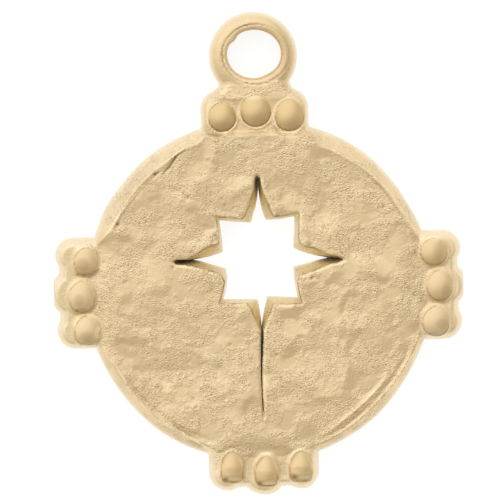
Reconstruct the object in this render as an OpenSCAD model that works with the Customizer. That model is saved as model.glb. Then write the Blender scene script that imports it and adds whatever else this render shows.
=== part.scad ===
// Star pendant: one casting, lying on its flat back with its hammered face up.
// X runs across the face, Y up towards the hanging loop, and Z out of the face.
// Lengths are in millimetres. The modules draw everything around the middle of the
// round disc, and pendant() then moves the whole casting to stand on the origin.

/* [Disc] */
// Radius of the round disc, at its outer edge
disc_r = 12.17; // [11.6:0.01:12.4]
// Height of the disc's upright outer side
side_h = 0.85; // [0.5:0.05:1]
// Width of the sloping band between that side and the ridge
band_w = 0.75; // [0.6:0.05:0.9]
// Height of the hammered face
face_h = 1.9; // [1.7:0.05:2.2]
// How far the ridge at the band's inner edge stands above the face
ridge_up = 0.06; // [0.02:0.01:0.12]
// How deep the groove just inside that ridge is
groove_deep = 0.08; // [0.03:0.01:0.15]

/* [Star] */
// Distance from the disc's middle up to the star's middle
star_up = 2.15; // [1.9:0.05:2.3]
// How far the star's middle lies to the right of the disc's middle
star_across = 0.06; // [-0.2:0.02:0.2]
// Size of the star, as a share of its usual size
star_size = 1; // [0.9:0.01:1.04]
// Height above the back up to which the star's walls stand upright
star_upright = 0.25; // [0.15:0.05:0.5]

/* [Bead groups] */
// Radius of an outer bead, where it leaves the pad; the middle one of a group is a little larger
bead_r = 1.0; // [0.9:0.01:1.06]
// Height of an outer bead's dome above the pad
bead_rise = 0.48; // [0.48:0.02:0.8]
// Distance from a group's middle line to the middles of its outer lobes
lobe_aside = 2.6; // [2.4:0.05:2.7]
// Radius of the rounded outer lobes of the pad
lobe_r = 1.26; // [1.15:0.01:1.35]
// Distance from the disc's middle to the lobes' middles
lobe_row = 12.93; // [12.8:0.01:13.05]
// Radius of the wider middle lobe
middle_lobe_r = 1.62; // [1.55:0.01:1.65]
// Height of the pad that carries the beads
pad_h = 1.7; // [1.4:0.05:1.75]

/* [Hanging loop] */
// Distance from the disc's middle up to the loop's middle
loop_up = 16.5; // [16.3:0.05:16.8]
// Outer radius of the loop
loop_r = 3.1; // [3:0.01:3.2]
// Radius of the hole that the chain or ring goes through
loop_hole_r = 1.83; // [1.7:0.01:1.9]
// How far the hole's middle lies to the right of the loop's middle
hole_across = 0.09; // [0:0.01:0.15]
// How far the hole's middle lies above the loop's middle
hole_up = 0.14; // [0:0.02:0.2]
// Thickness of the loop, front to back
loop_h = 1.7; // [1.4:0.05:1.8]
// Width of the neck that joins the loop to the upper bead group
neck_w = 5; // [4.6:0.1:5.2]

/* [Hidden] */
gold = [0.85, 0.70, 0.46];
$fn = 96;

soft_edge = 0.15;
cut_past = 1;
slope_w = 0.55;
ridge_r = disc_r - band_w;
loop_foot = 0.1;

// The whole casting's extent up and down decides where the origin lies.
top_end = loop_up + loop_r;
bottom_end = lobe_row + middle_lobe_r;
origin_up = (top_end - bottom_end) / 2;

// One row for each bead: where it sits across and up from the disc's middle, and its size
// as a share of an outer bead's.
BEAD_ACROSS = 0;
BEAD_UP = 1;
BEAD_SHARE = 2;
BEADS = [
    // top
    [-2.27, 12.3, 0.98],
    [0.12, 12.66, 1.08],
    [2.53, 12.36, 1.02],
    // left
    [-12.14, 2.38, 0.98],
    [-12.46, -0.04, 1.06],
    [-12.15, -2.5, 1],
    // right
    [12.38, 2.42, 0.98],
    [12.7, 0.04, 1.06],
    [12.36, -2.5, 1.02],
    // bottom
    [-2.22, -12.24, 0.98],
    [0.2, -12.7, 1.04],
    [2.66, -12.34, 1],
];

// The neck's outline: how far above the pad's middle line, and how much wider than its waist.
NECK = [
    [0, 0.9],
    [0.95, 0.78],
    [1.15, 0.38],
    [1.4, 0.14],
    [1.65, 0.02],
    [1.9, 0],
    [2.15, 0.1],
    [2.4, 0],
    [2.6, -0.5],
];

// One row for each pad: its turn around the disc, and how far it lies aside and outwards.
PADS = [[0, 0.02, -0.1], [90, 0.08, 0], [180, 0, 0], [270, 0, 0]];

// One row for each hammer mark on the face. The columns are the mark's place across and up from
// the disc's middle, its half length and half width, its turn in degrees and its depth.
ACROSS = 0;
UP = 1;
HALF_LENGTH = 2;
HALF_WIDTH = 3;
TURN = 4;
DEPTH = 5;
HAMMER_MARKS = [
    // upper left quarter
    [-4.5, 8.9, 1.2, 1.0, 80, 0.13],
    [-2.2, 9.1, 1.3, 0.9, 90, 0.12],
    [-3.3, 6.8, 1.1, 1.0, 0, 0.13],
    [-1.1, 6.1, 1.0, 0.9, 40, 0.12],
    [-7.8, 5.9, 1.8, 1.2, 25, 0.16],
    [-7.4, 7.5, 0.8, 0.7, 0, 0.10],
    [-4.6, 5.1, 1.3, 0.8, -10, 0.10],
    [-9.2, 3.1, 1.6, 0.9, -8, 0.12],
    // upper right quarter
    [3.5, 7.7, 2.2, 1.5, -55, 0.17],
    [5.3, 9.0, 1.1, 0.7, -20, 0.10],
    [7.0, 8.1, 1.0, 0.7, -35, 0.10],
    [8.0, 5.7, 1.2, 0.9, -40, 0.10],
    [4.6, 5.0, 1.3, 1.0, 10, 0.11],
    [7.6, 3.2, 1.6, 1.2, 0, 0.13],
    [10.0, 4.1, 0.6, 0.6, 0, 0.08],
    // left and lower left
    [-7.0, -0.6, 1.2, 0.8, 10, 0.10],
    [-9.6, -0.9, 1.3, 0.7, 5, 0.09],
    [-6.3, -2.6, 1.9, 1.3, -15, 0.15],
    [-9.5, -2.0, 0.9, 0.6, 0, 0.08],
    [-9.0, -4.2, 1.3, 0.9, 0, 0.13],
    [-6.4, -4.8, 2.0, 1.1, -5, 0.15],
    [-3.4, -4.8, 1.0, 0.9, -60, 0.10],
    [-7.6, -6.9, 0.7, 0.6, 0, 0.08],
    [-5.0, -7.8, 1.2, 0.8, -20, 0.09],
    [-2.1, -7.9, 0.9, 0.8, 0, 0.09],
    [-1.7, -10.0, 1.1, 0.7, 0, 0.09],
    // right and lower right
    [7.7, -0.4, 1.3, 1.2, 0, 0.13],
    [5.2, 0.1, 0.8, 0.7, 0, 0.10],
    [3.9, -0.9, 0.8, 0.8, 0, 0.10],
    [2.2, -2.2, 0.9, 0.7, 0, 0.09],
    [4.0, -5.0, 2.5, 2.1, 80, 0.22],
    [6.4, -3.2, 0.9, 0.7, 0, 0.12],
    [9.1, -1.8, 1.4, 0.7, 90, 0.12],
    [8.2, -4.6, 1.5, 1.1, 20, 0.14],
    [7.4, -7.1, 1.0, 0.9, 30, 0.11],
    [2.3, -7.6, 0.9, 0.7, 0, 0.09],
    [4.7, -8.4, 1.4, 0.9, 15, 0.12],
    [2.6, -10.1, 0.9, 0.7, 0, 0.09],
];

// The star's two outlines, clockwise from its top point. Each row is one place on the outline at
// the face and the matching place at the back: across and up from the star's middle.
FRONT_ACROSS = 0;
FRONT_UP = 1;
BACK_ACROSS = 2;
BACK_UP = 3;
STAR = [
    // top point, its tip and right side
    [0.01, 6.00, 0.10, 5.75],
    [0.20, 5.80, 0.16, 5.60],
    [0.26, 5.24, 0.16, 5.20],
    [0.40, 4.81, 0.20, 4.65],
    [0.57, 4.38, 0.26, 4.16],
    [0.77, 3.88, 0.32, 3.73],
    [0.92, 3.39, 0.47, 3.31],
    [1.15, 3.01, 0.63, 2.75],
    // upper right corner of the square
    [1.74, 3.08, 1.62, 2.78],
    [2.91, 3.24, 2.68, 2.94],
    [2.84, 2.21, 2.70, 2.05],
    [2.79, 1.50, 2.61, 1.34],
    // right point
    [2.95, 1.05, 2.53, 0.75],
    [3.30, 0.88, 2.97, 0.52],
    [3.80, 0.80, 3.46, 0.33],
    [4.35, 0.54, 4.02, 0.16],
    [4.91, 0.25, 4.52, 0.06],
    [5.61, 0.12, 5.20, -0.03],
    [6.03, -0.08, 5.75, -0.10],
    [5.60, -0.24, 5.20, -0.14],
    [5.03, -0.34, 4.51, -0.19],
    [4.32, -0.63, 4.01, -0.34],
    [3.61, -0.86, 3.44, -0.53],
    [2.79, -1.11, 2.52, -0.72],
    // lower right corner of the square
    [2.65, -1.60, 2.58, -1.55],
    [2.74, -2.37, 2.68, -2.33],
    [2.94, -3.06, 2.80, -2.93],
    [2.00, -3.11, 1.69, -2.85],
    // long bottom point, narrowing to a slit
    [0.97, -3.07, 0.58, -2.74],
    [0.79, -3.38, 0.48, -3.19],
    [0.60, -3.87, 0.34, -3.75],
    [0.38, -4.36, 0.22, -4.31],
    [0.21, -4.92, 0.15, -4.87],
    [0.16, -6.33, 0.09, -6.33],
    [0.06, -8.09, 0.05, -8.09],
    [0.03, -9.29, 0.02, -9.29],
    [0.02, -11.12, 0.02, -11.05],
    [-0.08, -9.29, -0.07, -9.29],
    [-0.06, -8.09, -0.05, -8.09],
    [-0.04, -6.33, -0.01, -6.33],
    [-0.01, -4.92, 0.08, -4.87],
    [-0.26, -4.34, 0.07, -4.30],
    [-0.46, -3.84, -0.01, -3.74],
    [-0.62, -3.35, -0.10, -3.31],
    [-0.93, -2.97, -0.15, -2.94],
    // lower left corner of the square
    [-1.74, -2.96, -1.35, -2.91],
    [-2.84, -2.97, -2.64, -2.90],
    [-2.56, -2.10, -2.41, -2.26],
    [-2.42, -1.39, -2.25, -1.35],
    // left point
    [-2.67, -0.93, -2.33, -0.73],
    [-3.23, -0.67, -2.84, -0.58],
    [-3.79, -0.48, -3.54, -0.34],
    [-4.49, -0.28, -4.10, -0.15],
    [-5.19, -0.14, -4.90, -0.06],
    [-5.83, -0.10, -5.50, -0.02],
    [-6.07, 0.06, -5.80, 0.04],
    [-5.82, 0.20, -5.50, 0.10],
    [-5.04, 0.21, -4.90, 0.07],
    [-4.40, 0.53, -4.10, 0.11],
    [-3.83, 0.92, -3.53, 0.24],
    [-3.26, 1.11, -2.96, 0.41],
    [-2.77, 1.23, -2.51, 0.56],
    // upper left corner of the square
    [-2.74, 1.93, -2.58, 1.34],
    [-2.81, 2.50, -2.66, 2.12],
    [-2.92, 3.13, -2.72, 2.80],
    [-1.93, 3.04, -1.63, 2.66],
    // left side of the top point
    [-1.09, 2.92, -0.50, 2.60],
    [-0.77, 3.43, -0.34, 3.19],
    [-0.57, 3.92, -0.14, 3.67],
    [-0.41, 4.48, -0.01, 4.24],
    [-0.24, 4.97, 0.08, 4.73],
    [-0.16, 5.46, 0.05, 5.30],
    [-0.13, 5.85, 0.04, 5.60],
];

// How far the opening has widened from the back's outline (0) to the face's (1), by height.
STAR_LEVELS = [
    [-cut_past, 0],
    [star_upright, 0],
    [face_h - 0.3, 0.72],
    [face_h - 0.08, 0.9],
    [face_h + 0.02, 1],
    [face_h + cut_past, 1],
];

// The round disc before it is hammered: upright side, sloping band, ridge, groove and face.
module plain_disc() {
    rotate_extrude()
        polygon([
            [0, 0],
            [disc_r - soft_edge, 0],
            [disc_r, soft_edge],
            [disc_r, side_h],
            [disc_r - 0.07, side_h + 0.22],
            [ridge_r + 0.18, face_h - 0.12],
            [ridge_r + 0.04, face_h + ridge_up],
            [ridge_r - 0.1, face_h + ridge_up],
            [ridge_r - 0.2, face_h - groove_deep],
            [ridge_r - 0.35, face_h - groove_deep],
            [ridge_r - 0.5, face_h],
            [0, face_h],
        ]);
}

// The lens that one hammer blow takes out of the face.
module hammer_lens(reach, depth) {
    ball_r = (reach * reach + depth * depth) / (2 * depth);
    intersection() {
        translate([0, 0, face_h - depth + ball_r])
            sphere(r = ball_r, $fn = 180);
        translate([0, 0, face_h - 2 * depth])
            cylinder(r = reach * 1.15, h = 4 * depth, $fn = 48);
    }
}

// A long blow is two round ones side by side.
module hammer_mark(mark) {
    spread = mark[HALF_LENGTH] - mark[HALF_WIDTH];
    places = spread > 0.15 ? [-spread, spread] : [0];
    translate([mark[ACROSS], mark[UP], 0])
        rotate([0, 0, mark[TURN]])
            for (along = places)
                translate([along, 0, 0])
                    hammer_lens(mark[HALF_WIDTH], mark[DEPTH]);
}

module hammered_disc() {
    difference() {
        plain_disc();
        for (mark = HAMMER_MARKS)
            hammer_mark(mark);
    }
}

// One rounded lobe of a bead pad, sloping in towards its bead.
module lobe(round_r) {
    rotate_extrude()
        polygon([
            [0, 0],
            [round_r - soft_edge, 0],
            [round_r, soft_edge],
            [round_r, side_h],
            [round_r - 0.15, side_h + 0.3],
            [round_r - slope_w, pad_h],
            [0, pad_h],
        ]);
}

// Cross section of a pad's plain bars: half a width and the slope up to the pad's top.
module bar_section(half_w) {
    polygon([
        [-half_w + soft_edge, 0],
        [half_w - soft_edge, 0],
        [half_w, soft_edge],
        [half_w, side_h],
        [half_w - 0.15, side_h + 0.3],
        [half_w - slope_w, pad_h],
        [-half_w + slope_w, pad_h],
        [-half_w + 0.15, side_h + 0.3],
        [-half_w, side_h],
        [-half_w, soft_edge],
    ]);
}

// One scalloped pad, drawn at the top of the disc.
module bead_pad() {
    pad_half_w = lobe_aside + lobe_r;
    inner_row = 10.6;
    valley_row = 13.98;
    for (aside = [-lobe_aside, lobe_aside])
        translate([aside, lobe_row, 0])
            lobe(lobe_r);
    translate([0, lobe_row, 0])
        lobe(middle_lobe_r);
    // the pad's sides run straight in to the disc
    translate([0, lobe_row, 0])
        rotate([90, 0, 0])
            linear_extrude(height = lobe_row - inner_row)
                bar_section(pad_half_w);
    // a bar fills the scallops between the lobes
    translate([-lobe_aside, valley_row - lobe_r, 0])
        rotate([90, 0, 90])
            linear_extrude(height = 2 * lobe_aside)
                bar_section(lobe_r);
}

// The dome of one bead, cut from a larger ball. Its foot reaches down into the pad.
module bead_dome(share) {
    edge_r = bead_r * share;
    rise = bead_rise * share;
    ball_r = (edge_r * edge_r + rise * rise) / (2 * rise);
    foot_h = 0.2;
    intersection() {
        translate([0, 0, pad_h + rise - ball_r])
            sphere(r = ball_r, $fn = 128);
        translate([0, 0, pad_h - foot_h])
            cylinder(r = edge_r, h = foot_h + 2 * rise);
    }
}

module beads() {
    for (bead = BEADS)
        translate([bead[BEAD_ACROSS], bead[BEAD_UP], 0])
            bead_dome(bead[BEAD_SHARE]);
}

// The ring and its neck, before the hole goes through.
module hanging_loop() {
    translate([0, loop_up, loop_foot])
        rotate_extrude()
            polygon([
                [loop_hole_r - 0.4, 0],
                [loop_r - 0.4, 0],
                [loop_r - 0.12, 0.16],
                [loop_r, 0.42],
                [loop_r, loop_h - 0.6],
                [loop_r - 0.1, loop_h - 0.3],
                [loop_r - 0.35, loop_h - 0.06],
                [loop_r - 0.6, loop_h],
                [loop_hole_r - 0.4, loop_h],
            ]);
    // the neck swells a little where it leaves the ring and the pad
    neck_half = neck_w / 2;
    for (tier = [[0, loop_foot, loop_h - 0.55], [0.25, loop_foot + 0.2, loop_h - 0.4]])
        translate([0, 0, tier[1]])
            linear_extrude(height = tier[2])
                polygon([
                    for (side = [1, -1])
                        each [
                            for (i = [0:len(NECK) - 1])
                                let (row = NECK[side > 0 ? i : len(NECK) - 1 - i])
                                [side * (neck_half + row[1] - tier[0]), lobe_row + row[0]]
                        ]
                ]);
}

// The hole through the loop, with its two softened edges.
module loop_hole() {
    flare = 0.22;
    translate([hole_across, loop_up + hole_up, 0]) {
        translate([0, 0, -cut_past])
            cylinder(r = loop_hole_r, h = loop_h + 3 * cut_past);
        translate([0, 0, loop_foot + loop_h - flare])
            cylinder(r1 = loop_hole_r, r2 = loop_hole_r + 2 * flare, h = 2 * flare);
        translate([0, 0, loop_foot - flare])
            cylinder(r1 = loop_hole_r + 2 * flare, r2 = loop_hole_r, h = 2 * flare);
    }
}

// The pierced star: upright at the back, then widening towards the face.
module star_piercing() {
    count = len(STAR);
    top_level = len(STAR_LEVELS) - 1;
    places = [
        for (level = STAR_LEVELS, row = STAR)
            [
                star_size * (row[BACK_ACROSS] + level[1] * (row[FRONT_ACROSS] - row[BACK_ACROSS])),
                star_size * (row[BACK_UP] + level[1] * (row[FRONT_UP] - row[BACK_UP])),
                level[0]
            ]
    ];
    walls = [
        for (level = [0:top_level - 1], i = [0:count - 1])
            let (
                a = level * count + i,
                b = level * count + (i + 1) % count
            )
            each [[a, b, b + count], [a, b + count, a + count]]
    ];
    translate([star_across, star_up, 0])
        polyhedron(
            points = places,
            faces = concat(
                [[for (i = [0:count - 1]) count - 1 - i]],
                walls,
                [[for (i = [0:count - 1]) top_level * count + i]]
            )
        );
}

module pendant() {
    color(gold)
        translate([0, -origin_up, 0])
            difference() {
                union() {
                    hammered_disc();
                    for (pad = PADS)
                        rotate([0, 0, pad[0]])
                            translate([pad[1], pad[2], 0])
                                bead_pad();
                    beads();
                    hanging_loop();
                }
                star_piercing();
                loop_hole();
            }
}

pendant();
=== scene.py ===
# Star pendant: looks, light and camera for the one casting, lying on its back, face up.
import math
from collections import namedtuple

import bmesh
import bpy
import numpy as np
from mathutils import Matrix
from mathutils import Vector


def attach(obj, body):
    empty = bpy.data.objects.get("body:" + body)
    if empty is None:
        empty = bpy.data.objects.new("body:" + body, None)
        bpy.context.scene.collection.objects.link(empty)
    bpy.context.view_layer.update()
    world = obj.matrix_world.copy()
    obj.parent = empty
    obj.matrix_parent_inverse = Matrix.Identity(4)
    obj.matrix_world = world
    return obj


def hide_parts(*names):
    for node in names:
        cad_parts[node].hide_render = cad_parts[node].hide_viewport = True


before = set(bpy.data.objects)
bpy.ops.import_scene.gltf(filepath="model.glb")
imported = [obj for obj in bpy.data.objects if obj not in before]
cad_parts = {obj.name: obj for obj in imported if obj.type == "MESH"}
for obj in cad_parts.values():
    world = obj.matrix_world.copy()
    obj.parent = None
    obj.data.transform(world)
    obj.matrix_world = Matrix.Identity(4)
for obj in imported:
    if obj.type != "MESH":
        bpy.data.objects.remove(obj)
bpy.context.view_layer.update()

# The round disc.
# It is the body of the casting: a flat back, an upright side, a sloping band round the edge with
# a low ridge at its inner side, and a face that was hammered and half melted before casting.
# Lengths are in millimetres from the disc's middle until the finished mesh is moved to its place.
DISC_RADIUS = 12.17
FACE_HEIGHT = 1.9
SIDE_HEIGHT = 0.85
RIDGE_WIDTH = 0.13
# How much of the band's height is climbed, by the share of the way in from the disc's edge.
BAND_CLIMB = [[0, 0], [0.1, 0.2], [0.45, 0.52], [0.8, 0.82], [0.93, 0.955], [1, 1]]

# The marks on the face are given as they were read, in the photograph's own pixels across from
# its left edge and down from its top edge. The disc is centred near this pixel, at which the
# place MIDDLE_X, MIDDLE_Y of the face is seen. PIXEL is a pixel's size in millimetres, and LEAN is
# how much of it goes sideways, because the pendant is turned a little in the picture.
MIDDLE_ACROSS = 258.1
MIDDLE_DOWN = 289.0
MIDDLE_X = -0.024
MIDDLE_Y = 0.130
PIXEL = 0.07053
LEAN = 0.001847


def to_pixels(x, y):
    """Where a place on the face, in millimetres, is seen in the photograph."""
    x = x - MIDDLE_X
    y = y - MIDDLE_Y
    size = PIXEL ** 2 + LEAN ** 2
    across = MIDDLE_ACROSS + (PIXEL * x - LEAN * y) / size
    down = MIDDLE_DOWN - (PIXEL * y + LEAN * x) / size
    return across, down


def to_millimetres(across, down):
    """Where a pixel of the photograph lies on the face, in millimetres."""
    right = across - MIDDLE_ACROSS
    up = MIDDLE_DOWN - down
    return PIXEL * right + LEAN * up + MIDDLE_X, PIXEL * up - LEAN * right + MIDDLE_Y


# The disc was filed by hand, so its edge wanders. The columns are the direction in degrees,
# anticlockwise from the right, and how far the edge lies outside the round, in millimetres.
EDGE_WANDER = [
    [-180, 0.0], [-160, -0.03], [-150, -0.06], [-138, -0.04], [-128, 0.03], [-118, 0.02],
    [-108, -0.03], [-90, 0.0], [-72, 0.04], [-62, 0.03], [-48, 0.05], [-38, -0.03],
    [-26, -0.04], [-20, 0.02], [0, 0.0], [22, 0.03], [28, -0.07], [40, -0.03], [50, 0.01],
    [60, -0.05], [70, -0.14], [80, -0.14], [100, -0.10], [110, -0.10], [120, -0.05],
    [130, 0.03], [140, -0.04], [147, 0.02], [151, 0.09], [155, -0.03], [163, -0.03],
]


def by_direction(x, y, directions, amounts):
    """Reads a table by direction from the disc's middle, with the steps between rows smoothed."""
    turn = np.arctan2(y, x)
    total = np.zeros_like(turn)
    for aside in (-3, -1.5, 0, 1.5, 3):
        shifted = turn + math.radians(aside)
        total += np.interp(shifted, np.radians(directions), amounts, period=2 * math.pi)
    return total / 5


def disc_radius(x, y):
    return DISC_RADIUS + by_direction(x, y, *np.array(EDGE_WANDER).T)


def disc_outline(x, y):
    return np.hypot(x, y) - disc_radius(x, y)


# The rim by direction, counted anticlockwise from the right. The columns are the direction in
# degrees, the ridge's distance from the middle in pixels, its height above the face, then the
# groove's distance from the middle, its half width in pixels and its depth, and how uneven the
# band is.
RIDGE_AT, RIDGE_UP, GROOVE_AT, GROOVE_HALF, GROOVE_DEEP, UNEVENNESS = range(1, 7)
RIM = [
    [-20, 167.0, 0.00, 160.0, 3.0, 0.00, 0.3],
    [-24, 166.0, 0.05, 162.5, 2.2, 0.06, 0.8],
    [-31, 164.8, 0.05, 161.2, 2.2, 0.09, 1.0],
    [-38, 164.5, 0.06, 161.6, 2.2, 0.10, 1.0],
    [-42, 164.2, 0.06, 161.6, 2.0, 0.08, 1.0],
    [-50, 164.2, 0.05, 161.8, 2.2, 0.10, 1.0],
    [-60, 165.6, 0.03, 163.4, 2.4, 0.09, 1.0],
    [-68, 167.0, 0.01, 163.5, 3.0, 0.05, 1.0],
    [-71, 167.0, 0.00, 160.0, 3.0, 0.00, 0.3],
    [-90, 167.0, 0.00, 160.0, 3.0, 0.00, 0.2],
    [-109, 167.0, 0.00, 160.0, 3.0, 0.00, 0.3],
    [-112, 162.5, 0.04, 158.5, 2.2, 0.03, 0.8],
    [-118, 163.5, 0.06, 159.0, 2.6, 0.10, 0.8],
    [-127, 163.5, 0.06, 159.5, 1.6, 0.03, 0.8],
    [-132, 163.5, 0.06, 158.5, 2.0, 0.05, 0.7],
    [-145, 163.0, 0.06, 158.5, 2.0, 0.04, 0.7],
    [-151, 163.0, 0.05, 158.0, 2.0, 0.02, 0.6],
    [-157, 163.0, 0.05, 158.0, 2.0, 0.02, 0.6],
    [-160, 167.0, 0.00, 160.0, 3.0, 0.00, 0.3],
    [-180, 167.0, 0.00, 160.0, 3.0, 0.00, 0.3],
    [-200, 167.0, 0.00, 160.0, 3.0, 0.00, 0.2],
    [-203, 157.0, 0.03, 154.0, 3.0, 0.02, 0.2],
    [-215, 157.5, 0.05, 154.0, 3.0, 0.03, 0.2],
    [-240, 157.5, 0.05, 154.0, 3.0, 0.02, 0.2],
    [-251, 157.5, 0.03, 154.0, 3.0, 0.00, 0.2],
    [-254, 167.0, 0.00, 160.0, 3.0, 0.00, 0.2],
    [-288, 167.0, 0.00, 160.0, 3.0, 0.00, 0.2],
    [-291, 157.5, 0.03, 153.0, 2.2, 0.00, 0.3],
    [-305, 159.5, 0.05, 156.8, 1.4, 0.02, 0.6],
    [-318, 160.5, 0.05, 157.8, 1.3, 0.02, 0.6],
    [-330, 160.5, 0.05, 157.8, 1.2, 0.02, 0.6],
    [-338, 160.0, 0.03, 156.0, 2.0, 0.00, 0.4],
    [-341, 167.0, 0.00, 160.0, 3.0, 0.00, 0.3],
]


def around_the_rim(x, y, column):
    """One column of the rim's table, smoothed over directions, for each place."""
    directions, amounts = np.array(RIM)[:, [0, column]].T
    if column in (RIDGE_AT, GROOVE_AT):
        edge_x, edge_y = to_millimetres(
            MIDDLE_ACROSS + amounts * np.cos(np.radians(directions)),
            MIDDLE_DOWN - amounts * np.sin(np.radians(directions)),
        )
        amounts = np.hypot(edge_x, edge_y)
    return by_direction(x, y, directions, amounts)


WAVES = 28


def uneven(x, y, wavelength, seed):
    """A smooth random field with lumps of one rough size, about 1 high: many waves added up."""
    chance = np.random.default_rng(seed)
    total = np.zeros_like(x)
    for _ in range(WAVES):
        heading = chance.uniform(0, 2 * math.pi)
        pace = 2 * math.pi / (wavelength * chance.uniform(0.7, 1.45))
        start = chance.uniform(0, 2 * math.pi)
        total += np.sin(pace * (x * math.cos(heading) + y * math.sin(heading)) + start)
    return total / math.sqrt(WAVES / 2)


def read_table(value, table, column=1):
    """Reads a table by its first column, in straight steps from row to row."""
    rows = np.array(table)
    return np.interp(value, rows[:, 0], rows[:, column])


def disc_height(x, y):
    out = np.hypot(x, y)
    ridge_at = around_the_rim(x, y, RIDGE_AT)
    ridge_up = around_the_rim(x, y, RIDGE_UP)
    # the band, from the upright side up to the ridge, with lumps along its middle
    edge_at = disc_radius(x, y)
    share = (edge_at - out) / (edge_at - ridge_at)
    band = SIDE_HEIGHT + read_table(share, BAND_CLIMB) * (FACE_HEIGHT + ridge_up - SIDE_HEIGHT)
    lumps = 0.022 * uneven(x, y, 0.9, 3) + 0.012 * uneven(x, y, 0.45, 4)
    lumps *= around_the_rim(x, y, UNEVENNESS)
    band += lumps * np.clip(np.sin(np.clip(share, 0, 1) * math.pi), 0, 1)
    # the face, with the ridge's inner side and the groove
    face = FACE_HEIGHT + ridge_up * np.exp(-((ridge_at - out) / RIDGE_WIDTH) ** 2)
    from_groove = out - around_the_rim(x, y, GROOVE_AT)
    groove_half = around_the_rim(x, y, GROOVE_HALF) * PIXEL
    face -= around_the_rim(x, y, GROOVE_DEEP) * np.exp(-(from_groove / groove_half) ** 2)
    return np.where(out > ridge_at, band, face)


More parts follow.
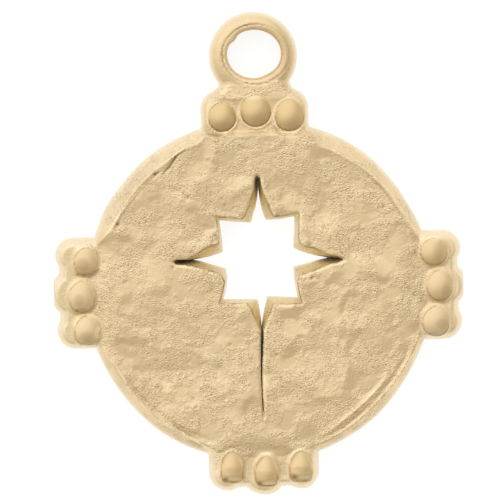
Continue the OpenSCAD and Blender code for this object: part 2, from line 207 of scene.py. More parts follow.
# The hammered face.
# The metal was struck and then half melted, so it is made of small facets that lean this way and
# that, with creases where one lap of metal lies over the next, and a few casting pits.
# A facet's columns are how steeply it falls towards the lower right in hundredths (negative where
# it falls towards the upper left), how soft its border is in pixels, and the corners of its
# outline in pixels. A later facet lies over the ones before it.
FACETS = [
    # upper left quarter
    [9, 2, (184, 153), (191, 148), (202, 146), (207, 143), (206, 153), (200, 162), (194, 164),
     (186, 160)],
    [18, 1, (199, 147), (206, 144), (204, 153), (200, 161), (198, 155)],
    [-8, 3, (186, 166), (195, 163), (206, 165), (209, 173), (203, 178), (195, 185), (189, 180)],
    [-26, 1, (191, 182), (197, 177), (205, 172), (208, 173), (202, 180), (195, 185)],
    [-9, 3, (174, 191), (183, 187), (192, 187), (195, 195), (188, 200), (179, 200)],
    [-22, 1, (178, 195), (183, 192), (184, 197), (189, 191), (191, 194), (186, 201), (181, 199)],
    [8, 2, (209, 181), (221, 184), (225, 191), (225, 200), (228, 206), (219, 210), (208, 208),
     (200, 203)],
    [17, 1, (196, 185), (203, 181), (211, 181), (216, 186), (214, 196), (207, 201), (199, 200),
     (201, 193)],
    [6, 3, (132, 212), (158, 208), (180, 204), (185, 216), (172, 222), (152, 221), (132, 220)],
    [11, 2, (136, 200), (150, 200), (164, 205), (160, 210), (145, 211), (133, 215), (126, 221),
     (129, 210)],
    [22, 1, (121, 219), (126, 209), (132, 202), (139, 199), (136, 205), (130, 212), (127, 220)],
    [16, 1.5, (157, 190), (163, 192), (165, 200), (166, 207), (159, 206), (156, 200)],
    [25, 1, (147, 200), (151, 195), (157, 192), (161, 193), (161, 198), (155, 201)],
    [11, 2, (144, 191), (151, 186), (160, 181), (164, 188), (158, 193), (149, 195), (142, 197),
     (139, 196)],
    [25, 1, (141, 191), (145, 185), (150, 179), (156, 176), (160, 177), (157, 181), (151, 185),
     (147, 190)],
    [-4, 2, (162, 181), (167, 179), (168, 195), (163, 197)],
    [11, 2, (172, 210), (181, 203), (190, 204), (200, 206), (206, 213), (214, 222), (215, 227),
     (208, 232), (199, 234), (191, 232), (186, 225), (183, 217)],
    [27, 1, (185, 209), (190, 207), (196, 208), (200, 213), (199, 217), (194, 214), (188, 212)],
    [15, 1.5, (187, 220), (197, 219), (203, 224), (199, 230), (190, 229)],
    [-6, 3, (118, 222), (132, 223), (140, 228), (130, 233), (117, 233)],
    [-6, 3, (165, 222), (183, 221), (188, 228), (195, 235), (185, 238), (165, 238), (157, 230)],
    [10, 2, (101, 242), (110, 238), (122, 241), (132, 240), (139, 245), (135, 251), (135, 258),
     (131, 263), (124, 259), (120, 256), (113, 250), (105, 248)],
    [27, 1, (106, 237), (113, 233), (122, 232), (127, 236), (131, 240), (126, 243), (118, 241),
     (110, 240)],
    [15, 1.5, (137, 241), (146, 238), (154, 239), (153, 245), (148, 250), (140, 250), (135, 246)],
    [24, 1, (149, 240), (153, 239), (154, 243), (151, 245)],
    [-14, 3, (184, 244), (190, 239), (198, 235), (208, 229), (217, 228), (219, 240), (208, 245),
     (198, 250), (188, 252)],
    [-34, 1.5, (194, 241), (204, 233), (211, 229), (218, 230), (218, 241), (206, 244), (198, 247)],
    # between left pad and star
    [-6, 4, (99, 256), (114, 257), (126, 262), (140, 256), (160, 250), (172, 255), (168, 270), (164, 280),
     (148, 288), (138, 291), (112, 289), (98, 284)],
    [-22, 1.5, (117, 269), (124, 267), (126, 275), (119, 276)],
    [-20, 1.5, (132, 268), (138, 269), (140, 275), (133, 274)],
    [-14, 2, (138, 258), (147, 257), (151, 266), (146, 268), (138, 265)],
    [-20, 1, (162, 253), (166, 252), (167, 258), (163, 257)],
    [-18, 1, (146, 282), (151, 280), (151, 285), (147, 286)],
    [-16, 1, (114, 291), (120, 289), (122, 293), (115, 295)],
    [9, 1, (151, 282), (158, 281), (159, 285), (153, 288)],
    # lower left quarter
    [16, 2, (97, 296), (102, 289), (108, 291), (110, 296), (115, 297), (112, 301), (102, 300)],
    [15, 2, (118, 296), (124, 293), (131, 295), (132, 299), (130, 306), (123, 306), (119, 301)],
    [6, 3, (140, 294), (148, 290), (172, 295), (182, 300), (180, 308), (165, 309), (152, 311),
     (146, 305)],
    [22, 1.2, (149, 293), (154, 289), (160, 286), (168, 285), (170, 292), (168, 299), (160, 300),
     (152, 300)],
    [9, 2, (112, 321), (122, 317), (136, 317), (150, 320), (148, 327), (134, 327), (124, 330),
     (108, 334)],
    [24, 1, (111, 307), (117, 309), (122, 312), (132, 315), (139, 316), (138, 319), (129, 319),
     (119, 317), (112, 313)],
    [-6, 1.5, (134, 329), (142, 327), (150, 328), (152, 333), (141, 333)],
    [11, 2, (148, 303), (153, 312), (158, 315), (159, 326), (152, 326), (146, 318)],
    [9, 1.5, (158, 313), (170, 313), (176, 317), (177, 322), (178, 328), (171, 325), (163, 323),
     (157, 321)],
    [13, 2, (171, 323), (182, 321), (188, 330), (190, 340), (180, 341), (172, 334)],
    [23, 1, (153, 309), (160, 307), (170, 308), (178, 310), (186, 314), (190, 320), (194, 328),
     (198, 334), (199, 339), (194, 341), (189, 336), (186, 328), (181, 321), (175, 316), (168, 313),
     (153, 314)],
    [10, 2, (103, 337), (112, 334), (114, 345), (104, 347)],
    [13, 1.5, (112, 345), (150, 346), (160, 348), (172, 347), (182, 352), (188, 358), (190, 369),
     (180, 371), (165, 371), (150, 371), (140, 370), (134, 367), (131, 360), (126, 356), (117, 352)],
    [30, 1, (113, 336), (118, 334), (126, 337), (138, 337), (146, 336), (149, 341), (150, 346),
     (140, 347), (125, 345), (116, 343)],
    [20, 1, (120, 347), (128, 347), (134, 355), (142, 360), (148, 366), (142, 368), (136, 362),
     (129, 356)],
    [28, 1, (134, 366), (144, 366), (149, 372), (140, 372), (134, 369)],
    [18, 2, (164, 360), (172, 358), (176, 366), (172, 372), (165, 371)],
    [-5, 5, (199, 300), (216, 306), (240, 344), (256, 344), (257, 392), (244, 396), (216, 396),
     (200, 410), (176, 404), (170, 376), (195, 372), (205, 346)],
    [-18, 1.5, (214, 337), (222, 335), (229, 340), (226, 344), (216, 343)],
    [30, 1, (187, 343), (191, 344), (196, 350), (201, 356), (204, 362), (202, 369), (198, 366),
     (196, 359), (192, 353)],
    [11, 1.5, (203, 362), (210, 358), (218, 359), (221, 364), (214, 371), (203, 370)],
    [-10, 1.5, (150, 374), (158, 373), (164, 379), (163, 385), (154, 384)],
    [-26, 1, (158, 380), (163, 381), (168, 385), (172, 381), (175, 386), (169, 390), (164, 391),
     (161, 385)],
    [18, 1.2, (141, 382), (146, 381), (151, 384), (155, 389), (163, 391), (163, 395), (153, 393),
     (146, 388)],
    [-12, 2, (152, 407), (162, 402), (173, 401), (173, 409), (160, 410)],
    [-15, 1.5, (176, 400), (180, 406), (188, 407), (190, 411), (183, 413), (176, 406)],
    [-24, 1, (188, 401), (197, 401), (199, 405), (191, 407), (186, 410), (187, 404)],
    [8, 2, (180, 413), (198, 412), (202, 418), (190, 419)],
    [-14, 1.5, (216, 372), (221, 370), (222, 378), (217, 379)],
    [-16, 1.5, (224, 381), (231, 380), (230, 387), (224, 387)],
    [-14, 1.5, (238, 384), (249, 384), (248, 390), (238, 390)],
    [13, 1, (217, 403), (221, 397), (227, 391), (230, 393), (225, 400), (219, 404)],
    [19, 1.5, (242, 405), (244, 399), (251, 396), (258, 399), (260, 404), (260, 412), (255, 415),
     (250, 412), (245, 417), (241, 415)],
    [30, 1, (242, 406), (244, 401), (249, 404), (248, 411), (244, 417), (241, 414)],
    [26, 1, (245, 400), (252, 396), (258, 400), (254, 403), (248, 403)],
    [-8, 3, (226, 408), (233, 408), (238, 420), (238, 438), (226, 440)],
    [11, 2, (236, 444), (240, 438), (245, 434), (254, 434), (260, 435), (268, 439), (274, 444),
     (271, 450), (254, 451), (243, 448)],
    [20, 1, (256, 436), (263, 437), (270, 439), (272, 442), (264, 442), (257, 440)],
    [15, 1.5, (238, 317), (242, 314), (245, 312), (248, 317), (251, 321), (251, 328), (252, 336),
     (249, 339), (245, 335), (244, 328), (243, 321), (240, 319)],
    [26, 1, (239, 317), (242, 315), (245, 316), (245, 321), (241, 320)],
    [-14, 1.2, (233, 314), (237, 308), (243, 304), (249, 307), (247, 311), (241, 311), (237, 316)],
    [14, 1.5, (210, 280), (216, 281), (219, 285), (220, 292), (217, 296), (213, 291), (207, 291),
     (205, 284)],
    [-14, 2, (206, 312), (208, 304), (216, 298), (228, 296), (240, 298), (240, 303), (228, 302),
     (218, 304)],
    [14, 2, (150, 296), (172, 298), (176, 306), (164, 308), (152, 304)],
    [30, 2, (170, 310), (182, 312), (190, 322), (186, 326), (176, 318)],
    [18, 2, (118, 328), (132, 326), (136, 334), (124, 338)],
    [-13, 3, (222, 362), (236, 356), (250, 352), (252, 360), (238, 368), (226, 368)],
    [-28, 1.5, (224, 379), (232, 377), (232, 387), (224, 387)],
    [-26, 1.5, (238, 383), (250, 382), (250, 390), (238, 391)],
    # upper right quarter
    [9, 3, (262, 158), (272, 152), (286, 152), (292, 158), (288, 172), (282, 184), (278, 192), (266, 186),
     (260, 170)],
    [15, 1.5, (251, 153), (258, 152), (263, 155), (263, 162), (258, 166), (252, 161)],
    [9, 2, (244, 138), (256, 137), (271, 140), (271, 147), (262, 150), (248, 150), (240, 146)],
    [22, 1, (235, 140), (239, 136), (247, 136), (255, 132), (262, 132), (270, 136), (276, 134),
     (278, 139), (268, 141), (258, 138), (247, 140)],
    [26, 1, (264, 152), (272, 148), (278, 144), (284, 140), (287, 142), (285, 148), (278, 150),
     (272, 153)],
    [24, 1, (237, 148), (240, 145), (246, 145), (246, 149), (240, 150)],
    [10, 2, (220, 153), (230, 151), (236, 156), (236, 164), (232, 170), (224, 170), (220, 165)],
    [26, 1.2, (213, 158), (216, 152), (220, 150), (221, 158), (219, 167), (217, 172), (212, 172),
     (212, 165)],
    [-5, 2, (204, 142), (212, 142), (213, 150), (210, 170), (208, 178), (203, 160)],
    [-12, 2, (225, 182), (232, 174), (240, 171), (248, 172), (252, 177), (252, 184), (245, 187),
     (238, 189), (230, 193), (225, 190)],
    [-26, 2, (237, 178), (244, 175), (251, 178), (250, 183), (240, 186), (236, 184)],
    [8, 1.5, (236, 200), (243, 195), (251, 194), (250, 200), (247, 208), (238, 208), (232, 205)],
    [28, 1, (230, 202), (235, 195), (240, 190), (246, 187), (253, 186), (252, 190), (244, 192),
     (238, 197), (233, 203)],
    [-8, 1.5, (206, 210), (218, 208), (222, 213), (207, 215)],
    [20, 1, (261, 171), (264, 172), (266, 178), (269, 186), (270, 191), (266, 190), (263, 182)],
    [24, 1, (271, 177), (275, 175), (278, 184), (282, 192), (284, 199), (279, 199), (275, 190)],
    [18, 1.5, (275, 175), (280, 171), (285, 176), (282, 183), (277, 180)],
    [-9, 2, (283, 195), (289, 191), (297, 194), (306, 199), (313, 203), (314, 210), (304, 213),
     (294, 210), (289, 203)],
    [-18, 1.5, (284, 197), (289, 193), (292, 197), (288, 201)],
    [-14, 1, (272, 199), (276, 198), (276, 207), (273, 208)],
    [17, 1.2, (275, 209), (283, 207), (291, 209), (298, 210), (294, 214), (284, 215), (277, 214)],
    [17, 1.5, (284, 174), (290, 163), (299, 157), (310, 155), (317, 160), (320, 168), (322, 178),
     (327, 185), (332, 190), (335, 196), (331, 201), (325, 206), (320, 210), (314, 205), (306, 199),
     (298, 195), (291, 190), (286, 182)],
    [27, 1.5, (326, 188), (332, 190), (335, 196), (331, 201), (327, 199)],
    [22, 2, (311, 158), (317, 160), (320, 168), (321, 180), (314, 178)],
    [5, 2, (319, 160), (328, 158), (340, 160), (345, 167), (338, 170), (326, 168)],
    [14, 1.5, (339, 170), (346, 165), (353, 170), (361, 176), (358, 181), (350, 182), (344, 178)],
    [23, 1.2, (308, 148), (318, 148), (330, 152), (338, 155), (348, 161), (357, 167), (364, 172),
     (370, 179), (365, 180), (360, 175), (352, 170), (345, 166), (336, 160), (327, 157), (321, 160),
     (310, 158)],
    [15, 1.2, (361, 187), (366, 182), (372, 183), (371, 188), (363, 190)],
    [12, 1.2, (361, 207), (367, 203), (374, 206), (373, 212), (365, 212)],
    [-5, 4, (322, 190), (344, 190), (362, 192), (360, 200), (350, 211), (332, 213), (322, 210),
     (336, 198)],
    [-22, 2.5, (315, 217), (322, 213), (331, 215), (338, 213), (339, 223), (335, 231), (325, 233),
     (316, 231), (312, 224)],
    [-36, 1.5, (322, 222), (334, 220), (337, 226), (334, 231), (324, 231)],
    [27, 1, (391, 230), (394, 224), (399, 220), (404, 222), (408, 228), (405, 231), (400, 226),
     (395, 230)],
    [9, 1.5, (395, 230), (400, 226), (404, 230), (400, 233)],
    [13, 1, (385, 234), (391, 231), (395, 232), (390, 236)],
    [18, 1, (305, 236), (310, 235), (310, 243), (305, 242)],
    [-12, 1, (299, 237), (303, 236), (305, 244), (301, 245)],
    # right of the star
    [-5, 4, (345, 240), (395, 240), (400, 290), (396, 330), (384, 290), (350, 285), (343, 268)],
    [-22, 2, (374, 257), (382, 258), (391, 264), (391, 271), (384, 276), (377, 271), (372, 263)],
    [-38, 1.5, (350, 253), (358, 250), (370, 251), (378, 254), (380, 260), (372, 263), (364, 264),
     (355, 260)],
    [19, 1.2, (352, 279), (356, 273), (364, 271), (374, 272), (382, 276), (388, 283), (383, 286),
     (377, 284), (368, 281), (360, 282), (355, 281)],
    [26, 1, (368, 274), (375, 273), (382, 277), (387, 282), (383, 284), (376, 280)],
    [26, 1.2, (323, 287), (327, 280), (331, 274), (335, 271), (342, 272), (342, 280), (345, 287),
     (341, 287), (337, 283), (331, 283), (326, 289)],
    [11, 2, (346, 299), (356, 297), (364, 300), (362, 307), (354, 311), (346, 311)],
    [14, 1.5, (361, 300), (364, 293), (369, 287), (373, 290), (370, 297), (366, 303)],
    [30, 1, (340, 312), (339, 304), (342, 296), (345, 291), (350, 288), (355, 291), (354, 297),
     (348, 299), (345, 303), (344, 310)],
    [-6, 2, (352, 312), (364, 308), (366, 320), (360, 328), (354, 327)],
    [-20, 1, (343, 316), (348, 318), (353, 323), (350, 326), (345, 321)],
    [13, 2, (361, 335), (372, 326), (378, 333), (385, 341), (380, 347), (356, 347)],
    [26, 1, (338, 325), (342, 323), (347, 328), (354, 331), (362, 330), (370, 324), (366, 331),
     (360, 336), (355, 342), (353, 348), (345, 348), (344, 339), (339, 334)],
    [38, 1, (338, 326), (341, 327), (344, 332), (345, 337), (340, 334)],
    [8, 1.2, (381, 300), (385, 292), (390, 296), (394, 304), (394, 312), (388, 314), (381, 311)],
    [16, 2, (380, 310), (388, 312), (394, 310), (393, 320), (392, 325), (387, 325), (384, 320),
     (381, 316)],
    [32, 1.5, (386, 321), (392, 322), (396, 330), (392, 334), (384, 334), (385, 327)],
    [28, 0.8, (380, 310), (382, 310), (387, 321), (386, 324)],
    [22, 1, (404, 261), (407, 255), (412, 252), (418, 253), (416, 257), (410, 257), (406, 262)],
    [14, 1.2, (410, 326), (414, 321), (419, 323), (420, 329), (415, 331), (411, 329)],
    [-16, 1.5, (401, 298), (406, 299), (406, 306), (401, 305)],
    # lower right quarter
    [21, 1.2, (278, 320), (279, 312), (284, 309), (292, 308), (304, 308), (306, 311), (299, 315),
     (293, 319), (286, 319)],
    [-8, 3, (268, 322), (280, 321), (292, 320), (303, 315), (312, 311), (321, 313), (318, 320),
     (308, 325), (298, 333), (290, 342), (280, 350), (268, 350)],
    [-18, 1.5, (303, 316), (308, 311), (315, 311), (314, 319), (307, 320)],
    [12, 2, (312, 282), (318, 284), (325, 290), (330, 294), (326, 302), (318, 307), (310, 309),
     (304, 308), (304, 298)],
    [25, 1, (302, 298), (302, 290), (305, 286), (309, 283), (315, 282), (314, 290), (312, 297),
     (307, 299)],
    [20, 1, (303, 300), (308, 300), (308, 307), (304, 308)],
    [-14, 1.2, (303, 273), (310, 271), (310, 282), (304, 284)],
    [9, 1.5, (300, 340), (308, 335), (314, 329), (322, 326), (330, 325), (332, 335), (330, 345),
     (322, 348), (312, 352), (300, 350), (297, 346)],
    [24, 1, (282, 358), (285, 350), (291, 342), (297, 335), (304, 328), (312, 321), (320, 320),
     (326, 322), (320, 326), (312, 330), (308, 335), (300, 339), (295, 344), (298, 349), (296, 356),
     (289, 359)],
    [-6, 4, (284, 364), (292, 360), (300, 354), (316, 352), (330, 353), (339, 346), (345, 356),
     (350, 366), (349, 378), (345, 388), (340, 394), (324, 395), (312, 394), (306, 387), (298, 380),
     (286, 378)],
    [-12, 3, (318, 382), (330, 374), (344, 378), (342, 390), (330, 394), (320, 392)],
    [-12, 2, (329, 330), (334, 327), (338, 331), (342, 338), (344, 346), (344, 357), (338, 350),
     (334, 344)],
    [13, 1.5, (281, 388), (287, 382), (295, 381), (302, 384), (307, 388), (304, 393), (298, 396),
     (289, 393)],
    [28, 1, (287, 382), (293, 381), (300, 385), (297, 388), (290, 386)],
    [5, 2, (305, 388), (324, 388), (322, 395), (306, 394)],
    [9, 2, (311, 405), (330, 403), (345, 400), (356, 402), (352, 408), (343, 413), (335, 420), (322, 429),
     (312, 433), (310, 418)],
    [30, 1.2, (306, 396), (312, 397), (325, 397), (335, 399), (331, 404), (318, 405), (307, 402)],
    [17, 2, (332, 396), (342, 393), (350, 394), (358, 402), (353, 406), (342, 402)],
    [24, 1.2, (343, 384), (346, 376), (350, 366), (349, 361), (354, 365), (356, 372), (362, 378),
     (355, 385), (352, 392), (355, 400), (348, 401), (340, 398), (341, 391)],
    [36, 1, (344, 335), (350, 338), (351, 345), (351, 355), (348, 359), (344, 352)],
    [-8, 1.5, (351, 391), (356, 388), (364, 389), (373, 391), (370, 397), (364, 402), (358, 400),
     (353, 396)],
    [9, 2, (354, 386), (360, 380), (372, 378), (381, 378), (377, 388), (364, 388)],
    [10, 3, (352, 345), (366, 342), (372, 352), (370, 368), (384, 362), (382, 374), (366, 376),
     (352, 362)],
    [20, 2, (352, 368), (360, 366), (367, 371), (366, 378), (356, 379)],
    [17, 2, (370, 344), (384, 342), (395, 334), (404, 338), (408, 343), (403, 352), (396, 358),
     (388, 359), (378, 358), (370, 354)],
    [-4, 1, (396, 342), (400, 345), (390, 358), (386, 358)],
    [8, 3, (281, 412), (288, 409), (296, 411), (298, 420), (298, 427), (290, 427), (283, 420)],
    [12, 1.2, (297, 403), (303, 401), (308, 405), (303, 409), (298, 408)],
    [-14, 1.2, (295, 418), (303, 414), (311, 416), (309, 421), (298, 421)],
    [17, 1.5, (298, 424), (306, 421), (316, 421), (317, 429), (313, 436), (304, 440), (296, 437),
     (293, 431)],
    [-18, 1.2, (278, 401), (286, 397), (293, 402), (291, 408), (283, 407)],
    [-30, 1, (263, 377), (267, 376), (268, 382), (266, 389), (263, 389)],
    [-14, 1, (270, 388), (272, 383), (278, 383), (279, 389), (276, 386), (273, 386)],
    [14, 1.2, (263, 412), (268, 417), (270, 423), (265, 428), (263, 421)],
    [-20, 1.2, (319, 431), (325, 430), (326, 436), (320, 436)],
    # small facets over the upper half
    [16, 2, (252, 156), (264, 156), (264, 164), (254, 164)],
    [24, 1.5, (262, 170), (269, 170), (271, 180), (265, 181)],
    [24, 2, (220, 203), (228, 200), (237, 202), (234, 209), (221, 212)],
    [-18, 1.5, (330, 230), (337, 230), (338, 246), (331, 246)],
    [24, 1.5, (303, 230), (308, 231), (313, 244), (308, 246)],
    [16, 2, (180, 210), (188, 212), (192, 224), (184, 224)],
    [-32, 2, (116, 266), (127, 265), (128, 276), (117, 277)],
    [-30, 2, (130, 266), (141, 266), (141, 276), (131, 276)],
    # small facets over the lower right quarter
    [-16, 1.5, (296, 334), (304, 328), (310, 320), (314, 320), (312, 328), (304, 336)],
    [22, 1.5, (290, 316), (298, 312), (302, 318), (296, 323)],
    [20, 2, (318, 344), (330, 344), (336, 356), (324, 352)],
    [26, 1, (341, 336), (347, 335), (347, 344), (342, 344)],
    [-14, 1, (328, 326), (334, 328), (338, 336), (333, 334)],
    [-14, 1.2, (334, 346), (340, 346), (342, 356), (336, 354)],
    [15, 2, (306, 398), (314, 394), (318, 410), (310, 416)],
    [16, 2, (352, 384), (372, 382), (380, 388), (362, 394)],
    [16, 2, (366, 314), (380, 308), (392, 304), (394, 312), (376, 318)],
]


def distance_from(corners, x, y):
    """Distance from a closed outline, negative inside it, and where along it the nearest is."""
    best = np.full(x.shape, 1e9)
    where = np.zeros(x.shape)
    inside = np.zeros(x.shape, dtype=bool)
    for i, (x0, y0) in enumerate(corners):
        x1, y1 = corners[(i + 1) % len(corners)]
        step_x, step_y = x1 - x0, y1 - y0
        along = ((x - x0) * step_x + (y - y0) * step_y) / (step_x ** 2 + step_y ** 2)
        along = np.clip(along, 0, 1)
        apart = np.hypot(x - x0 - along * step_x, y - y0 - along * step_y)
        nearer = apart < best
        best = np.where(nearer, apart, best)
        where = np.where(nearer, i + along, where)
        if step_y:
            inside ^= ((y0 > y) != (y1 > y)) & (x < x0 + (y - y0) / step_y * step_x)
    return np.where(inside, -best, best), where


def smoothly(share):
    """Eases a share from 0 to 1 at both its ends."""
    return share * share * (3 - 2 * share)


def part_way(amount, way):
    """How far along its way an amount has got, from 0 to 1."""
    return np.clip(amount / way, 0, 1)


def marked_lean(across, down):
    """How steeply the face falls towards the lower right at each place, from the facets."""
    total = np.zeros_like(across)
    for lean, soft, *corners in FACETS:
        columns, rows = zip(*corners)
        near = (across > min(columns) - 2 * soft) & (across < max(columns) + 2 * soft)
        near &= (down > min(rows) - 2 * soft) & (down < max(rows) + 2 * soft)
        away, _ = distance_from(corners, across[near], down[near])
        share = smoothly(np.clip(0.5 - away / (2 * soft), 0, 1))
        total[near] += (lean * 0.01 - total[near]) * share
    return total


# The face's height is the surface that leans as the facets say, and stays level on the whole. It
# is worked out on a sheet over the face, given by its left and top edge, the number of places each
# way and their spacing, in pixels. A facet is felt as far as REACH, in millimetres. The facets fall
# in the direction FALL_RIGHT, FALL_DOWN, and square to it the surface is held level only weakly.
SHEET_LEFT = 88
SHEET_TOP = 119
SHEET_COUNT = 680
SHEET_STEP = 0.5
REACH = 2.8
FALL_RIGHT = 0.49
FALL_DOWN = 0.87
HOLD_ASIDE = 0.15
# The marks are deepest in the lower left quarter and softest in the upper left one. These are the
# edges of the two quarters in pixels, from which the change sets in.
MARK_DEPTH = 0.88
LEFT_HALF_TO = 256
LOWER_HALF_FROM = 295
UPPER_HALF_TO = 280
down, across = np.mgrid[0:SHEET_COUNT, 0:SHEET_COUNT] * SHEET_STEP
across, down = across + SHEET_LEFT, down + SHEET_TOP
# the facets' borders are torn
x, y = to_millimetres(across, down)
torn_across = 0.9 * uneven(x, y, 0.8, 21) + 0.4 * uneven(x, y, 0.33, 22)
torn_down = 0.9 * uneven(x, y, 0.8, 23) + 0.4 * uneven(x, y, 0.33, 24)
marked = marked_lean(across + torn_across, down + torn_down)
on_left = part_way(LEFT_HALF_TO - across, 10)
deeper = 0.22 * on_left * part_way(down - LOWER_HALF_FROM, 30)
softer = 0.06 * on_left * part_way(UPPER_HALF_TO - down, 20)
marked *= MARK_DEPTH + deeper - softer
leans = np.fft.fft2(marked)
paces = 2 * math.pi * np.fft.fftfreq(SHEET_COUNT, SHEET_STEP * PIXEL)
towards_right, towards_down = np.meshgrid(paces, paces)
along = FALL_RIGHT * towards_right + FALL_DOWN * towards_down
aside = FALL_DOWN * towards_right - FALL_RIGHT * towards_down
stiffness = along ** 2 + HOLD_ASIDE * aside ** 2 + 1 / REACH ** 2
SHEET = np.real(np.fft.ifft2(1j * along * leans / stiffness))


def facet_height(across, down):
    """Reads the sheet between its places."""
    column = np.clip((across - SHEET_LEFT) / SHEET_STEP, 0, SHEET_COUNT - 1.001)
    row = np.clip((down - SHEET_TOP) / SHEET_STEP, 0, SHEET_COUNT - 1.001)
    i, j = np.floor(row).astype(int), np.floor(column).astype(int)
    u, v = row - i, column - j
    upper = SHEET[i, j] * (1 - v) + SHEET[i, j + 1] * v
    lower = SHEET[i + 1, j] * (1 - v) + SHEET[i + 1, j + 1] * v
    return upper * (1 - u) + lower * u


def follow_line(across, down, points):
    """Distance from a line of points, positive on its left, and a share that fades at its ends."""
    lengths = [math.dist(points[i], points[i + 1]) for i in range(len(points) - 1)]
    whole = sum(lengths)
    best = np.full(across.shape, 1e9)
    side = np.zeros_like(across)
    travelled = np.zeros_like(across)
    start = 0.0
    for i, length in enumerate(lengths):
        step_x = (points[i + 1][0] - points[i][0]) / length
        step_y = (points[i][1] - points[i + 1][1]) / length
        right = across - points[i][0]
        up = points[i][1] - down
        along = np.clip(right * step_x + up * step_y, 0, length)
        apart = np.hypot(right - along * step_x, up - along * step_y)
        left = np.sign(step_x * up - step_y * right)
        nearer = apart < best
        best = np.where(nearer, apart, best)
        side = np.where(nearer, left, side)
        travelled = np.where(nearer, start + along, travelled)
        start += length
    end_gap = np.minimum(travelled, whole - travelled)
    return best * side, smoothly(part_way(end_gap, 0.3 * whole))


# A crease's columns are its depth in hundredths of a millimetre, its half width in pixels, how much
# painted shade lies in its bottom, and the places along it. A negative depth is a thin raised line,
# which gets a painted highlight where its third number is negative too.
CREASES = [
    [9, 1.3, 1.0, [(190, 146), (183, 151), (177, 155), (173, 161), (170, 166), (165, 171), (160, 177)]],
    [4, 1.2, 0.0, [(184, 156), (177, 163), (173, 170), (171, 177)]],
    [5, 1.2, 0.8, [(160, 171), (157, 173), (153, 175)]],
    [4, 1.3, 0.0, [(262, 398), (263, 408), (263, 419)]],
    [-5, 2.0, 0.0, [(119, 355), (128, 368), (140, 382), (152, 394), (161, 402)]],
    [-8, 1.9, -0.9, [(390, 368), (380, 385), (367, 399), (351, 413), (334, 427), (322, 435)]],
    [-6, 1.0, -0.9, [(97, 342), (105, 352), (117, 367), (125, 380), (130, 390), (145, 407), (160, 421)]],
    [-6, 1.0, -1.0, [(152, 414), (160, 421), (175, 429), (190, 437), (203, 445), (209, 452), (213, 458)]],
    [-2, 1.0, -0.5, [(103, 345), (107, 350), (117, 362), (127, 375)]],
    [4, 1.6, 0.25, [(125, 374), (131, 383), (140, 394), (147, 402), (154, 411)]],
    [6, 1.8, 0.5, [(170, 421), (178, 428), (190, 435), (197, 438), (204, 438)]],
    [5, 1.8, 0.4, [(187, 440), (195, 444), (204, 448)]],
    [-5, 1.1, -1.0, [(300, 137), (320, 146), (333, 151), (355, 163), (370, 174), (381, 185), (390, 198)]],
    [-3, 1.1, -0.6, [(373, 177), (388, 192), (397, 205), (404, 215), (415, 232)]],
    [2, 0.8, 0.35, [(365, 173), (379, 186), (386, 194), (393, 205), (404, 220)]],
    [-4, 1.2, -1.0, [(148, 175), (157, 171), (166, 163), (174, 155), (185, 148)]],
    [-3, 1.2, -0.9, [(104, 237), (119, 215), (132, 198), (148, 179)]],
    [4, 1.4, 0.0, [(208, 213), (214, 217), (218, 222)]],
    [5, 1.3, 0.4, [(122, 156), (126, 153), (130, 149)]],
    [3, 1.2, 0.0, [(113, 159), (118, 157), (122, 156)]],
    [6, 1.4, 0.5, [(205, 132), (210, 134), (218, 136), (224, 134)]],
]


def crease_depth(across, down):
    total = np.zeros_like(across)
    for depth, half_width, _, points in CREASES:
        apart, fade = follow_line(across, down, points)
        total += 0.01 * depth * fade * np.exp(-(apart / half_width) ** 2)
    return total


# A pit's columns are its place and radius in pixels and its depth in hundredths.
PITS = [
    [155, 174, 1.8, 12], [132, 155, 2.0, 7], [188, 197, 1.6, 9], [185, 195, 1.2, 6], [191, 198, 1.2, 7],
    [183, 193, 1.2, 6], [118, 224, 1.9, 14], [128, 193, 1.8, 4], [215, 235, 1.8, 14], [216, 238, 1.5, 12],
    [211, 237, 1.4, 8], [213, 241, 1.3, 7], [309, 245, 2.0, 8], [311, 278, 1.5, 10], [313, 277, 1.3, 8],
    [173, 267, 1.6, 7], [192, 251, 1.6, 6], [253, 342, 1.5, 5], [383, 206, 2.0, 7], [188, 408, 1.6, 7],
    [196, 407, 1.4, 7], [193, 399, 1.8, 5], [158, 387, 1.6, 8], [162, 388, 1.3, 7], [171, 387, 1.6, 5],
    [335, 171, 2.0, 5], [230, 345, 1.6, 5], [225, 205, 1.6, 5], [305, 415, 1.8, 5], [104, 262, 1.5, 6],
    [104, 277, 1.4, 5], [112, 292, 1.5, 5], [125, 265, 1.4, 5], [126, 282, 1.5, 5], [277, 216, 1.8, 10],
    [225, 480, 2.0, 10], [259, 484, 2.4, 10], [294, 477, 2.4, 10], [244, 478, 1.3, 7], [247, 480, 1.2, 6],
    [78, 274, 1.4, 9], [77, 310, 1.6, 9], [81, 344, 1.6, 8], [429, 334, 1.6, 8], [99, 269, 1.3, 8],
    [220, 304, 1.5, 5], [269, 363, 1.5, 5], [276, 355, 1.6, 6], [199, 210, 1.2, 4],
]


def pit_depth(across, down):
    total = np.zeros_like(across)
    for pit_across, pit_down, radius, depth in PITS:
        apart = np.hypot(across - pit_across, down - pit_down)
        total += 0.01 * depth * np.exp(-(apart / radius) ** 2)
    return total


